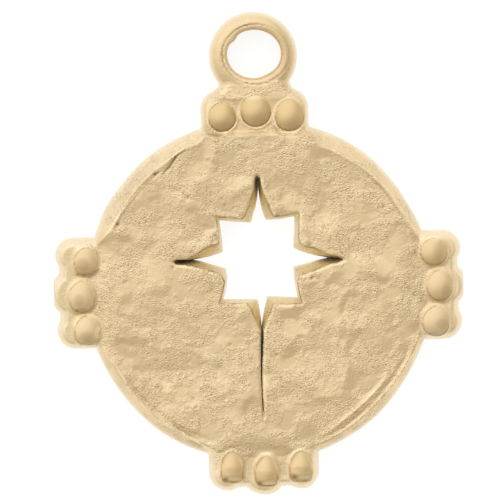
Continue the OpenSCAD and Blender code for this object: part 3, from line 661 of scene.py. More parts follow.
# The pierced star.
# It is cut right through the casting. Its walls narrow towards the back, and the long lower point
# runs on as a slit. Each row is one place on the outline at the face and the matching place at
# the back, across and up from the star's middle, clockwise from the top point.
STAR_ACROSS = 0.06
STAR_UP = 2.15
STAR = [
    # top point, its tip and right side
    [0.01, 6.00, 0.10, 5.60],
    [0.20, 5.80, 0.104, 5.40],
    [0.26, 5.24, 0.108, 5.00],
    [0.40, 4.81, 0.12, 4.78],
    [0.57, 4.38, 0.19, 4.16],
    [0.77, 3.88, 0.25, 3.73],
    [0.92, 3.39, 0.37, 3.31],
    [1.15, 3.01, 0.54, 2.70],
    # upper right corner of the square
    [1.74, 3.08, 1.60, 2.72],
    [2.91, 3.24, 2.58, 2.90],
    [2.84, 2.21, 2.58, 2.05],
    [2.79, 1.50, 2.50, 1.28],
    # right point
    [2.95, 1.05, 2.47, 0.66],
    [3.30, 0.88, 2.93, 0.43],
    [3.80, 0.80, 3.44, 0.24],
    [4.35, 0.54, 4.02, 0.08],
    [4.91, 0.25, 4.48, 0.00],
    [5.61, 0.12, 4.85, -0.098],
    [6.03, -0.08, 5.75, -0.10],
    [5.60, -0.24, 4.85, -0.104],
    [5.03, -0.34, 4.48, -0.17],
    [4.32, -0.63, 4.01, -0.28],
    [3.61, -0.86, 3.42, -0.44],
    [2.79, -1.11, 2.45, -0.64],
    # lower right corner of the square
    [2.65, -1.60, 2.46, -1.50],
    [2.74, -2.37, 2.57, -2.30],
    [2.94, -3.06, 2.70, -2.84],
    [2.00, -3.11, 1.66, -2.76],
    # long bottom point, narrowing to a slit
    [0.97, -3.07, 0.54, -2.68],
    [0.79, -3.38, 0.42, -3.19],
    [0.60, -3.87, 0.28, -3.75],
    [0.38, -4.36, 0.18, -4.31],
    [0.19, -4.92, 0.10, -4.80],
    [0.12, -6.33, 0.022, -6.33],
    [0.044, -7.50, 0.004, -7.50],
    [0.014, -9.29, -0.014, -9.29],
    [0.042, -10.4, 0.018, -10.4],
    [0.050, -11.12, 0.050, -11.1],
    [-0.008, -10.4, 0.014, -10.4],
    [-0.052, -9.29, -0.018, -9.29],
    [-0.050, -7.50, -0.000, -7.50],
    [-0.055, -6.33, 0.016, -6.33],
    [0.00, -4.92, 0.094, -4.80],
    [-0.26, -4.34, 0.08, -4.30],
    [-0.46, -3.84, 0.02, -3.74],
    [-0.62, -3.35, -0.06, -3.31],
    [-0.93, -2.97, -0.13, -2.88],
    # lower left corner of the square
    [-1.74, -2.96, -1.33, -2.85],
    [-2.84, -2.97, -2.56, -2.84],
    [-2.56, -2.10, -2.34, -2.26],
    [-2.42, -1.39, -2.22, -1.30],
    # left point
    [-2.67, -0.93, -2.31, -0.65],
    [-3.23, -0.67, -2.82, -0.49],
    [-3.79, -0.48, -3.50, -0.27],
    [-4.49, -0.28, -4.06, -0.09],
    [-5.19, -0.14, -4.60, 0.026],
    [-5.83, -0.10, -5.40, 0.036],
    [-6.07, 0.06, -5.80, 0.04],
    [-5.82, 0.20, -5.40, 0.044],
    [-5.04, 0.21, -4.60, 0.034],
    [-4.40, 0.53, -4.06, 0.10],
    [-3.83, 0.92, -3.50, 0.19],
    [-3.26, 1.11, -2.94, 0.35],
    [-2.77, 1.23, -2.48, 0.50],
    # upper left corner of the square
    [-2.74, 1.93, -2.51, 1.30],
    [-2.81, 2.50, -2.60, 2.10],
    [-2.92, 3.13, -2.68, 2.76],
    [-1.93, 3.04, -1.60, 2.61],
    # left side of the top point
    [-1.09, 2.92, -0.45, 2.54],
    [-0.77, 3.43, -0.28, 3.17],
    [-0.57, 3.92, -0.10, 3.66],
    [-0.41, 4.48, 0.02, 4.24],
    [-0.24, 4.97, 0.085, 4.78],
    [-0.16, 5.46, 0.10, 5.00],
    [-0.13, 5.85, 0.10, 5.40],
]
# The worn edge round the opening is this wide, and its rim has sunk this far below the face.
STAR_EDGE = 0.2
STAR_WEAR = 0.09
# How far the walls stand back from the face's outline, by height as a share of the face's.
STAR_WALL = [[0.96, 0.06], [0.86, 0.2], [0.66, 0.42], [0.42, 0.66], [0.18, 0.92], [0.0, 1.0]]


def star_outline(x, y):
    """Distance from the star's outline at the face, and where along the outline that is."""
    return distance_from(np.array(STAR)[:, :2] + [STAR_ACROSS, STAR_UP], x, y)


def star_distance(x, y):
    return star_outline(x, y)[0]


def star_back(where):
    """The places on the star's outline at the back that match places on the face's."""
    spots = np.array(STAR)[:, 2:] + [STAR_ACROSS, STAR_UP]
    row = np.floor(where).astype(int) % len(spots)
    share = (where - np.floor(where))[:, None]
    return spots[row] * (1 - share) + spots[(row + 1) % len(spots)] * share


# The bead pads.
# Four scalloped pads are in one piece with the disc, a little lower than its face, each with
# sloping flanks and three lobes for its three beads. The columns are the pad's turn about the
# disc's middle in degrees, how far it lies aside and outwards, half its width, how far its middle
# lobe reaches past the round, and where the face starts to sink towards it and over what way.
Pad = namedtuple("Pad", "turn aside outwards half_wide middle sinks_from sinks_over")
PADS = [
    Pad(0, 0.03, -0.12, 3.78, 0.0, 11.05, 0.45),
    Pad(90, 0.10, 0.05, 3.90, 0.07, 9.8, 2.0),
    Pad(180, -0.05, 0.0, 3.87, 0.0, 10.4, 1.5),
    Pad(270, 0.0, 0.09, 3.83, 0.0, 9.8, 2.0),
]
UPPER_PAD = PADS[0]
LOBE_ROW = 12.93
LOBE_RADIUS = 1.26
MIDDLE_LOBE_RADIUS = 1.62
LOBE_FILLET = 0.5
PAD_START = 9.6
PAD_STRAIGHT = 13.96
PAD_HEIGHT = 1.7
PAD_SINK = 0.22
# A pad lies within this distance of its middle line, and shows from this far out.
PAD_ASIDE = 4.2
PAD_SHOWS_FROM = 11.3
# How much of the flank is climbed, by the distance in from the pad's outline.
PAD_FLANK = [[0, 0], [0.10, 0.34], [0.28, 0.76], [0.42, 0.96], [0.52, 1]]


def pad_places(x, y, pad):
    """A place seen from a pad: how far aside of its middle line, and how far out."""
    turn = math.radians(pad.turn)
    aside = x * math.cos(turn) + y * math.sin(turn) - pad.aside
    out = y * math.cos(turn) - x * math.sin(turn) - pad.outwards
    return aside, out


def blend_shapes(first, second, width):
    """Joins two outlines into one, with the corner between them filled softly."""
    share = np.clip(0.5 + 0.5 * (second - first) / width, 0, 1)
    return second + (first - second) * share - width * share * (1 - share)


def pad_outline(x, y, pad):
    aside, out = pad_places(x, y, pad)
    lobe_aside = pad.half_wide - LOBE_RADIUS
    side_lobes = np.hypot(np.abs(aside) - lobe_aside, out - LOBE_ROW) - LOBE_RADIUS
    middle_lobe = np.hypot(aside, out - LOBE_ROW) - MIDDLE_LOBE_RADIUS - pad.middle
    lobes = blend_shapes(side_lobes, middle_lobe, LOBE_FILLET)
    # a block joins the lobes to the disc, and a narrower one fills the notches between them
    block_out = np.maximum(out - LOBE_ROW, PAD_START - out)
    block = np.maximum(np.abs(aside) - pad.half_wide, block_out)
    filling_out = np.maximum(out - PAD_STRAIGHT, PAD_START - out)
    filling = np.maximum(np.abs(aside) - lobe_aside, filling_out)
    return np.minimum(np.minimum(lobes, block), filling)


def pad_height(x, y, pad):
    flank = read_table(-pad_outline(x, y, pad), PAD_FLANK)
    return SIDE_HEIGHT + flank * (PAD_HEIGHT - SIDE_HEIGHT)


def down_to_pad(x, y, pad):
    """How far the face has sunk on its way out to a pad."""
    aside, out = pad_places(x, y, pad)
    beside = part_way(pad.half_wide + 0.2 - np.abs(aside), 0.8)
    way = part_way(out - pad.sinks_from, pad.sinks_over)
    return PAD_SINK * smoothly(way) * smoothly(beside)


# The beads.
# Round grains of the same metal sit in the pads in groups of three. They were melted in, so each
# stands in a low collar, and hand filing left them a little uneven. The columns are its place in
# pixels, its half width and half height in pixels, its height above the back in millimetres, how
# much warmer its thicker plate looks, how square its lower side is, and how high the metal crept up.
Bead = namedtuple("Bead", "across down half_wide half_high top warmth square crept")
BEADS = [
    # top
    Bead(222.1, 117.0, 13.8, 14.3, 2.17, 1.0, 0.0, 0.06),
    Bead(255.5, 110.9, 15.2, 15.8, 2.22, 1.0, 0.0, 0.06),
    Bead(288.9, 115.2, 14.2, 15.6, 2.18, 0.9, 0.3, 0.08),
    # left
    Bead(86.1, 260.8, 11.3, 13.6, 2.13, 0.4, 0.3, 0.20),
    Bead(82.3, 296.2, 12.7, 15.4, 2.18, 0.15, 0.3, 0.22),
    Bead(87.4, 330.0, 12.2, 14.0, 2.15, 0.15, 0.6, 0.22),
    # right
    Bead(433.0, 251.6, 13.0, 13.6, 2.14, 0.5, 0.0, 0.20),
    Bead(438.9, 285.5, 12.8, 15.0, 2.18, 0.3, 0.0, 0.22),
    Bead(435.2, 321.2, 13.2, 14.4, 2.15, 0.15, 0.3, 0.22),
    # bottom
    Bead(231.6, 467.0, 10.6, 15.6, 2.13, 0.55, 2.6, 0.20),
    Bead(266.2, 471.2, 11.0, 15.0, 2.18, 0.55, 2.2, 0.20),
    Bead(300.8, 466.4, 11.0, 15.4, 2.15, 0.55, 2.6, 0.20),
]
UPPER_BEADS = BEADS[:3]
# How much of a half round a bead's dome is.
BEAD_ROUND = 0.74
# Soft oval patches on the beads and beside them. The columns are the place, half width and half
# height in pixels, and how strong the patch is. These are painted shade, on the beads' lower parts
# and in the steps and crevices beside them.
SHADE_PATCHES = [
    [222, 126, 11, 4.5, 0.35], [259, 118, 8, 7, 0.2], [292, 121, 8, 8, 0.2],
    [83, 264, 6, 6.5, 0.75], [79, 299, 4.5, 6, 0.6], [86, 336, 6, 6, 0.65],
    [437, 251, 4.5, 10, 0.55], [445, 291, 4, 8, 0.5], [441, 323, 7, 5, 0.55],
    [232, 470, 8.5, 3.0, 0.6], [266, 474, 8.5, 3.0, 0.6], [301, 469, 8.5, 3.0, 0.7],
    [226, 480, 4, 3, 0.9], [259, 484, 4, 3, 0.9], [294, 477, 5, 3, 0.9], [303, 480.5, 7, 1.2, 0.6],
    [233, 482, 8, 1.2, 0.6], [268, 486, 7, 1.2, 0.6], [245, 478, 4, 1.5, 0.6], [286, 475, 4, 1.6, 0.5],
    [86, 273, 9, 1.5, 0.6], [97, 271, 4, 1.5, 0.5], [81, 309, 6, 1.8, 0.6], [88, 342, 9, 1.4, 0.7],
    [100, 345, 6, 1.3, 0.5], [433, 263, 8, 1.4, 0.5], [441, 299, 6, 1.6, 0.5], [434, 334, 8, 1.8, 0.7],
    [206, 131, 3, 5, 0.7], [214, 135, 8, 1.5, 0.7], [398, 334, 6, 4, 0.5],
    [223, 135, 10, 2.5, 0.45], [250, 134, 13, 2, 0.4], [290, 133, 15, 3, 0.5],
]
# These are painted highlights, on the beads and beside them.
HIGHLIGHT_PATCHES = [
    [454, 288, 3, 9, 0.7], [414, 306, 4, 9, 0.6], [98, 333, 3, 7, 0.6],
    [300, 446, 12, 4.5, 0.7], [213, 446, 7, 6, 0.6], [264, 452, 10, 2.5, 0.5],
    [234, 479, 6, 1.8, 0.6], [269, 483, 6, 1.8, 0.6], [304, 477.5, 6, 1.8, 0.6],
]


def bead_reach(across, down, bead):
    """How far out a place is from a bead's middle, as a share of the way to its edge."""
    right = (across - bead.across) / bead.half_wide
    up = (bead.down - down) / bead.half_high
    power = 2 + bead.square * np.clip(-2 * up, 0, 1)
    return (np.abs(right) ** power + np.abs(up) ** power) ** (1 / power)


def bead_outline(x, y, bead):
    return (bead_reach(*to_pixels(x, y), bead) - 1) * bead.half_high * PIXEL


def set_bead(height, x, y, bead):
    """The height with a bead set into it, and with the metal that crept up round the bead."""
    across, down = to_pixels(x, y)
    reach = bead_reach(across, down, bead)
    away = bead_outline(x, y, bead)
    lowered = (down - bead.down) / bead.half_high
    collar = PAD_HEIGHT + 0.01 + bead.crept * np.clip(1 - away / 0.32, 0, 1) ** 1.5
    # a second ring of metal crept up over the upper side
    collar += 0.035 * np.clip(-lowered, 0, 1) * np.exp(-((away - 0.34) / 0.1) ** 2)
    if bead in UPPER_BEADS:
        # and a thin one was left standing round the lower side of the upper beads
        collar += 0.08 * np.clip(0.3 + lowered, 0, 1) * np.exp(-((away - 0.14) / 0.07) ** 2)
    level = smoothly(np.clip(1 - away / 0.5, 0, 1))
    height = np.where(reach >= 1, height * (1 - level) + collar * level, height)
    # the dome is highest a little below its middle, and more so where its lower side is square
    foot = PAD_HEIGHT + bead.crept - 0.01
    lowered = lowered - (0.10 + 0.13 * bead.square) * (1 - np.clip(lowered, -1, 1) ** 2)
    reach_up = np.hypot((across - bead.across) / bead.half_wide, lowered)
    reach_up = np.where(reach > 0.985, 1, np.minimum(reach_up, 1))
    cap = np.sqrt(1 - (BEAD_ROUND * reach_up) ** 2)
    edge = math.sqrt(1 - BEAD_ROUND ** 2)
    dome = foot + (bead.top - foot) * (cap - edge) / (1 - edge)
    return np.where(reach < 1, dome, height)


# The hanging loop.
# A thick round ring stands on a short neck above the upper pad. It was cast with the rest, and
# its hole was drilled and rounded, which left an inner lip.
LOOP_ACROSS = 0.03
LOOP_UP = 16.47
LOOP_RADIUS = 3.08
LOOP_HEIGHT = 1.8
HOLE_X = 0.11
HOLE_Y = 16.64
HOLE_HALF_WIDE = 1.93
HOLE_HALF_HIGH = 1.75
HOLE_SIZE = (HOLE_HALF_WIDE + HOLE_HALF_HIGH) / 2
# How much of its height the ring has, by the distance in from its outer edge.
LOOP_ROLL = [[0, 0.0], [0.06, 0.28], [0.2, 0.56], [0.42, 0.80], [0.7, 0.94], [1.1, 1.0]]
# The lip's height, by the share of its width out from the hole.
LIP = [[0, 1.6], [0.1, 1.68], [0.25, 1.70], [0.85, 1.75], [1, 1.69], [1.13, 1.8]]
# The neck runs from under the upper pad into the ring, and is seen from its foot to its top.
NECK_FROM = 12.4
NECK_TO = 15.5
NECK_FOOT = 13.4
NECK_TOP = 14.9
RING_FROM = 14.6
OUTLINE_FILLET = 0.12
# The neck's columns are the height above the disc's middle and its reach to the left and right.
NECK = [
    [12.0, 3.3, 3.3],
    [13.7, 3.30, 3.26],
    [13.9, 3.02, 3.00],
    [14.1, 2.78, 2.80],
    [14.33, 2.50, 2.62],
    [14.58, 2.40, 2.52],
    [14.83, 2.36, 2.50],
    [15.08, 2.34, 2.54],
    [15.33, 2.34, 2.50],
    [15.6, 2.1, 2.2],
]


def loop_outline(x, y):
    ring = np.hypot(x - LOOP_ACROSS, y - LOOP_UP) - LOOP_RADIUS
    left = -x - read_table(y, NECK, 1)
    right = x - read_table(y, NECK, 2)
    neck = np.maximum(np.maximum(left, right), np.maximum(NECK_FROM - y, y - NECK_TO))
    return blend_shapes(ring, neck, OUTLINE_FILLET)


def around_hole(x, y):
    return np.arctan2((y - HOLE_Y) / HOLE_HALF_HIGH, (x - HOLE_X) / HOLE_HALF_WIDE)


def hole_drop(turn):
    """A drop of metal was left at the upper left, and the lower right was not opened fully."""
    return 0.08 * np.exp(-((turn - 2.45) / 0.2) ** 2) + 0.03 * np.exp(-((turn + 1.1) / 0.3) ** 2)


def lip_width(x, y):
    turn = around_hole(x, y)
    return 0.39 + 0.09 * np.cos(turn) + 0.04 * np.sin(turn) + hole_drop(turn) * HOLE_SIZE


def hole_outline(x, y):
    right = (x - HOLE_X) / HOLE_HALF_WIDE
    up = (y - HOLE_Y) / HOLE_HALF_HIGH
    reach = np.hypot(right, up) + hole_drop(around_hole(x, y))
    return (reach - 1) * HOLE_SIZE


def loop_height(x, y):
    # the ring is round outside, lower towards the neck, and falls to a lip before the hole
    roll = read_table(-loop_outline(x, y), LOOP_ROLL)
    ring = SIDE_HEIGHT + roll * (LOOP_HEIGHT - SIDE_HEIGHT)
    ring -= 0.05 * part_way(NECK_TOP - y, 0.6)
    way = hole_outline(x, y) / lip_width(x, y)
    past_lip = way >= LIP[-1][0]
    return np.where(past_lip, ring, np.minimum(ring, read_table(way, LIP)))


# The whole casting.
# The disc, the pads, the beads and the loop were cast as one piece of brass, so their outlines
# and their heights run together here, with a small fillet in each corner.
HEIGHT_FILLET = 0.06


def casting_outline(x, y):
    shape = disc_outline(x, y)
    for pad in PADS:
        shape = blend_shapes(shape, pad_outline(x, y, pad), OUTLINE_FILLET)
    return blend_shapes(shape, loop_outline(x, y), OUTLINE_FILLET)


def run_together(first, second):
    """The higher of two heights, with a small fillet where they meet."""
    return -blend_shapes(-first, -second, HEIGHT_FILLET)


def casting_height(x, y):
    across, down = to_pixels(x, y)
    out = np.hypot(x, y)
    edge_at = disc_radius(x, y)
    ridge_at = around_the_rim(x, y, RIDGE_AT)
    height = np.where(out < edge_at, disc_height(x, y), SIDE_HEIGHT * 0.9)
    # the relief runs on over the ridge and dies away down the band
    height += facet_height(across, down) * part_way(edge_at - out, edge_at - ridge_at)
    # the face is never quite smooth, even between its marks
    fine = 0.002 * uneven(x, y, 1.5, 11) + 0.0014 * uneven(x, y, 0.7, 12)
    fine += 0.0010 * uneven(x, y, 0.34, 13)
    height += fine * part_way(ridge_at - 0.15 - out, 0.5)
    height -= crease_depth(across, down) + pit_depth(across, down)
    for pad in PADS:
        height = height - down_to_pad(x, y, pad)
        joined = run_together(height, pad_height(x, y, pad))
        height = np.where(pad_outline(x, y, pad) < 0, joined, height)
    joined = run_together(height, loop_height(x, y))
    height = np.where(loop_outline(x, y) < 0, joined, height)
    # the star's edge is worn round
    height -= STAR_WEAR * (1 - part_way(star_distance(x, y), STAR_EDGE)) ** 1.6
    for bead in BEADS:
        height = set_bead(height, x, y, bead)
    return height


# The casting's mesh.
# A fine grid is pulled on to the outlines, what lies outside them is cut away, and the grid is
# lifted to the casting's height. The rims are then drawn down to the flat back.
GRID = 0.092
GRID_WIDE = 29.6
GRID_HIGH = 34.8
GRID_UP = 2.5
SLIT_AT = 0.05
COLUMN_PULL = 0.40
COLUMN_REACH = 0.6


def closer_columns(x):
    """Draws the grid's columns together where the slit runs."""
    return x - COLUMN_PULL * np.tanh((x - SLIT_AT) / COLUMN_REACH)


grid = bmesh.new()
bmesh.ops.create_grid(
    grid,
    x_segments=round(GRID_WIDE / GRID),
    y_segments=round(GRID_HIGH / GRID),
    size=0.5,
    matrix=Matrix.Translation((0, GRID_UP, 0)) @ Matrix.Diagonal((GRID_WIDE, GRID_HIGH, 1, 1)),
)
number = grid.verts.layers.int.new("number")
for vert in grid.verts:
    vert[number] = vert.index
spots = np.array([vert.co[:2] for vert in grid.verts])
spots[:, 0] = closer_columns(spots[:, 0])
edge_ends = np.array([[edge.verts[0].index, edge.verts[1].index] for edge in grid.edges])
taken = np.zeros(len(spots), dtype=bool)


def pull_to(distance):
    """Moves the nearer end of each grid edge that crosses an outline on to the outline."""
    away = distance(*spots.T)
    first, second = edge_ends.T
    crosses = away[first] * away[second] < 0
    crosses &= np.abs(away[first] - away[second]) < 3 * GRID
    crosses &= ~(taken[first] | taken[second])
    first, second = first[crosses], second[crosses]
    share = away[first] / (away[first] - away[second])
    target = spots[first] + (spots[second] - spots[first]) * share[:, None]
    mover = np.where(share < 0.5, first, second)
    order = np.argsort(-np.hypot(*(target - spots[mover]).T))
    spots[mover[order]] = target[order]
    moved = np.zeros(len(spots), dtype=bool)
    moved[mover] = True
    # one more step lands the moved corners on a curved outline
    x, y = spots[moved].T
    tiny = 1e-4
    level = distance(x, y)
    slope_x = (distance(x + tiny, y) - level) / tiny
    slope_y = (distance(x, y + tiny) - level) / tiny
    steep = np.maximum(slope_x ** 2 + slope_y ** 2, 0.25)
    spots[moved, 0] = x - level * slope_x / steep
    spots[moved, 1] = y - level * slope_y / steep
    taken[moved] = True
    return moved


def rim_distance(x, y):
    away = np.hypot(x, y) - around_the_rim(x, y, RIDGE_AT)
    for bead in BEADS:
        away = np.where(bead_outline(x, y, bead) < 0, 9.0, away)
    return away


def crease_distance(x, y, points):
    apart, fade = follow_line(*to_pixels(x, y), points)
    return np.where(fade > 0, apart, 9.0) * PIXEL


on_outside = pull_to(casting_outline)
on_star = pull_to(star_distance)
on_hole = pull_to(hole_outline)
for bead in BEADS:
    pull_to(lambda x, y: bead_outline(x, y, bead))
# the creases are crisp because the grid follows them too: the ring's lip, the worn edge round the
# star, the ridge between band and face, and the laps in the metal
pull_to(lambda x, y: hole_outline(x, y) - lip_width(x, y))
pull_to(lambda x, y: star_distance(x, y) - STAR_EDGE)
pull_to(rim_distance)
for _, _, dark, points in CREASES:
    if dark != 0:
        pull_to(lambda x, y: crease_distance(x, y, points))

# inside a bead the grid is spread evenly over the dome, not over its plan
across, down = to_pixels(*spots.T)
for bead in BEADS:
    reach = bead_reach(across, down, bead)
    inside = (reach < 0.999) & ~taken
    outwards = np.sin(np.clip(reach, 0, 1) * math.pi / 2) / np.maximum(reach, 1e-6)
    across = np.where(inside, bead.across + (across - bead.across) * outwards, across)
    down = np.where(inside, bead.down + (down - bead.down) * outwards, down)
spots = np.stack(to_millimetres(across, down), axis=1)
x, y = spots.T
for vert, spot in zip(grid.verts, spots):
    vert.co = (spot[0], spot[1], 0)


def cut_distance(x, y):
    """Distance from the metal: positive outside the casting, in the star and in the loop's hole."""
    openings = np.maximum(-star_distance(x, y), -hole_outline(x, y))
    return np.maximum(casting_outline(x, y), openings)


on_edge = on_outside | on_star | on_hole
is_out = (cut_distance(x, y) > 0) & ~on_edge

# squares cut by an outline are split along it
for face in list(grid.faces):
    ids = [vert.index for vert in face.verts]
    outs = [is_out[i] for i in ids]
    edges_on = [on_edge[i] for i in ids]
    corner = None
    if sum(outs) == 1 and sum(edges_on) >= 2:
        corner = outs.index(True)
    elif sum(outs) == 0 and sum(edges_on) >= 3:
        corner = edges_on.index(False) if sum(edges_on) == 3 else 0
    if corner is not None:
        bmesh.utils.face_split(face, face.verts[corner - 1], face.verts[(corner + 1) % 4])


def outside_of_casting(face):
    if any(is_out[vert.index] for vert in face.verts):
        return True
    if not all(on_edge[vert.index] for vert in face.verts):
        return False
    middle = face.calc_center_median()
    return cut_distance(np.array([middle.x]), np.array([middle.y]))[0] > 0


doomed = [face for face in grid.faces if outside_of_casting(face)]
bmesh.ops.delete(grid, geom=doomed, context="FACES")
loose = [vert for vert in grid.verts if not vert.link_faces]
bmesh.ops.delete(grid, geom=loose, context="VERTS")
heights = casting_height(x, y)
for vert in grid.verts:
    vert.co.z = heights[vert[number]]

# Which outline each rim edge lies near decides how it is drawn down to the back.
NEAR = 0.2
near_star = np.abs(star_distance(x, y)) < NEAR
near_hole = np.abs(hole_outline(x, y)) < NEAR
star_rim = []
hole_rim = []
outer_rim = []
for edge in grid.edges:
    if edge.is_boundary:
        if all(near_star[vert[number]] for vert in edge.verts):
            star_rim.append(edge)
        elif all(near_hole[vert[number]] for vert in edge.verts):
            hole_rim.append(edge)
        else:
            outer_rim.append(edge)


def away_from(outline):
    """The direction straight away from an outline, for each corner of the grid."""
    tiny = 1e-3
    slope = np.stack([
        outline(x + tiny, y) - outline(x - tiny, y),
        outline(x, y + tiny) - outline(x, y - tiny),
    ], axis=1)
    return slope / np.maximum(np.hypot(*slope.T), 1e-9)[:, None]


from_outside = away_from(casting_outline)
from_hole = away_from(hole_outline)
star_behind = star_back(star_outline(x, y)[1])


def draw_down(edges, place_at, levels):
    """Extrudes a rim step by step, each new ring of corners going to its own place."""
    for level in levels:
        grown = bmesh.ops.extrude_edge_only(grid, edges=edges)["geom"]
        for vert in grown:
            if isinstance(vert, bmesh.types.BMVert):
                i = vert[number]
                place = place_at(i, level[1])
                vert.co = (place[0], place[1], heights[i] * level[0])
        edges = [item for item in grown if isinstance(item, bmesh.types.BMEdge)]
    return edges


def outer_place(i, inset):
    # the loop's ring is rounder than the disc's side
    on_ring = min(max(y[i] - 14.0, 0), 1)
    return spots[i] - from_outside[i] * inset * (1 + 1.6 * on_ring)


def hole_place(i, inset):
    return spots[i] + from_hole[i] * inset


def star_place(i, share):
    return spots[i] * (1 - share) + star_behind[i] * share


# A wall's rows are its height as a share of the rim's, and how far it stands back into the metal.
OUTER_WALL = [[0.75, -0.01], [0.45, -0.01], [0.18, 0.0], [0.06, 0.05], [0.0, 0.15], [0.0, 0.4]]
HOLE_WALL = [[0.8, -0.04], [0.5, -0.05], [0.2, 0.0], [0.08, 0.08], [0.0, 0.2], [0.0, 0.4]]
last_edges = draw_down(outer_rim, outer_place, OUTER_WALL)
last_edges += draw_down(hole_rim, hole_place, HOLE_WALL)
last_edges += draw_down(star_rim, star_place, STAR_WALL)
bmesh.ops.triangle_fill(grid, use_beauty=True, use_dissolve=False, edges=last_edges, normal=(0, 0, -1))
bmesh.ops.recalc_face_normals(grid, faces=grid.faces)

# The finish differs from place to place, and light and shade are painted into the colour in places, so
# the mesh carries a mask for each.
# First the hammered face's grain: the facets that fall to the lower right and the pads were left
# smoother, and the neck was left as rough as the face.
SMOOTH_FROM = 12.0
out = np.hypot(x, y)
across, down = to_pixels(x, y)
from_ridge = out - around_the_rim(x, y, RIDGE_AT)
from_loop = loop_outline(x, y)
hammered = np.clip(-from_ridge / 0.2, 0.8, 1)
hammered *= 1 - 0.3 * np.clip(8 * marked_lean(across, down), 0, 1)
for pad in PADS:
    aside, outwards = pad_places(x, y, pad)
    hammered *= 1 - 0.65 * part_way(outwards - SMOOTH_FROM, 0.4) * (np.abs(aside) < PAD_ASIDE)
on_neck = part_way(NECK_TOP - y, 0.2) * part_way(y - NECK_FOOT, 0.2) * (from_loop < 0)
hammered = np.maximum(hammered, 0.9 * on_neck)

# The beads have a warmer plate, painted shade in the seam round them that is darkest on their
# lower side, and a broken painted highlight on the metal that crept up round them, strongest
# round the lower side of the upper beads.
warm = np.zeros_like(x)
shade_paint = np.zeros_like(x)
highlight_paint = np.zeros_like(x)
broken = np.clip(0.5 + 0.5 * uneven(x, y, 1.1, 33), 0, 1)
for bead in BEADS:
    away = bead_outline(x, y, bead)
    lowered = np.clip((down - bead.down) / bead.half_high, -1, 1)
    on_bead = part_way(1.05 - bead_reach(across, down, bead), 0.1)
    warm = np.maximum(warm, bead.warmth * on_bead)
    hammered *= 1 - on_bead
    seam_shade = 0.06 + 0.44 * np.clip(lowered * 1.6, 0, 1)
    shade_paint = np.maximum(shade_paint, seam_shade * np.clip(1 - np.abs(away) / 0.075, 0, 1))
    bright = 0.6 * broken
    if bead in UPPER_BEADS:
        bright = np.clip(0.2 + lowered * 1.6, 0.2, 1) * (0.7 + 0.3 * broken)
    highlight_paint = np.maximum(highlight_paint, bright * np.exp(-((away - 0.11) / 0.06) ** 2))


def patches(rows):
    """The strongest of a table's soft patches at each place."""
    total = np.zeros_like(x)
    for patch_across, patch_down, half_wide, half_high, strength in rows:
        apart = np.hypot((across - patch_across) / half_wide, (down - patch_down) / half_high)
        total = np.maximum(total, strength * part_way(1.25 - apart, 0.5))
    return total


# patches of painted highlight
highlight_paint = np.maximum(highlight_paint, patches(HIGHLIGHT_PATCHES))

# The band, the pads' flanks and the loop were rubbed smooth, the upper pad's flank less far in.
# The edges of the other pads are pale. The upper pad is warm like its beads, and the ring less so.
WARM_FROM = 11.0
WARM_TO = 14.0
rubbed = part_way(from_ridge, 0.1)
pale = np.clip(1 + casting_outline(x, y) / 0.3, 0, 1)
for pad in PADS:
    inset = -pad_outline(x, y, pad)
    on_pad = (inset > 0) & (pad_places(x, y, pad)[1] > PAD_SHOWS_FROM)
    rubbed_in = 0.65
    if pad is not UPPER_PAD:
        rubbed_in = 1.1
        pale = np.where(on_pad, np.maximum(pale, 0.7 * part_way(0.6 - inset, 0.4)), pale)
    rubbed = np.where(on_pad, part_way(rubbed_in - inset, 0.5), rubbed)
rubbed = np.where(from_loop < 0, part_way(0.8 + from_loop, 0.6), rubbed)
rubbed *= 1 - np.clip(warm * 6, 0, 1)
aside, outwards = pad_places(x, y, UPPER_PAD)
on_pad = part_way(outwards - WARM_FROM, 0.4) * (np.abs(aside) < PAD_ASIDE) * (outwards < WARM_TO)
warm = np.maximum(warm, 0.6 * on_pad * (1 - rubbed) * part_way(3.2 - x, 0.6))
on_ring = (from_loop < 0) & (y > RING_FROM)
rubbed = np.where(on_ring, 0.4 * rubbed, rubbed)
warm = np.where(on_ring, np.maximum(warm, 0.35), warm)

# How much painted light lies on the rubbed slopes, by direction in degrees: most where they face
# away from the light at the upper left, none where they face it.
SLOPE_LIGHT = [
    [0, 0.9], [20, 0.95], [60, 1.0], [75, 0.6], [105, 0.6], [113, 0.8], [123, 0.2], [133, 0.0],
    [148, 0.0], [160, 0.6], [200, 0.5], [215, 0.7], [228, 0.8], [236, 0.35], [247, 0.4], [255, 1.2],
    [285, 1.2], [293, 0.05], [303, 0.3], [312, 1.0], [335, 0.9], [345, 0.9],
]
polish_and_painted_light = np.where(on_ring, rubbed, rubbed * by_direction(x, y, *np.array(SLOPE_LIGHT).T))
polish_and_painted_light = np.maximum(polish_and_painted_light, 0.7 * on_neck)

# The loop's lip has a painted highlight on its left and darker, yellower painted shade on its
# right, with a line of painted shade outside it that is darkest at the top.
turn = around_hole(x, y)
past_lip = hole_outline(x, y) - lip_width(x, y)
on_lip = part_way(-past_lip, 0.05)
polish_and_painted_light = np.maximum(polish_and_painted_light, on_lip * (0.5 - 0.5 * np.cos(turn)))
warm = np.maximum(warm, 0.7 * on_lip * np.clip(0.5 + 0.6 * np.cos(turn), 0.35, 1))
lip_line = np.clip(1 - np.abs(past_lip) / 0.07, 0, 1)
shade_paint = np.maximum(shade_paint, lip_line * (0.2 + 0.6 * np.exp(-((turn - 1.8) / 0.45) ** 2)))

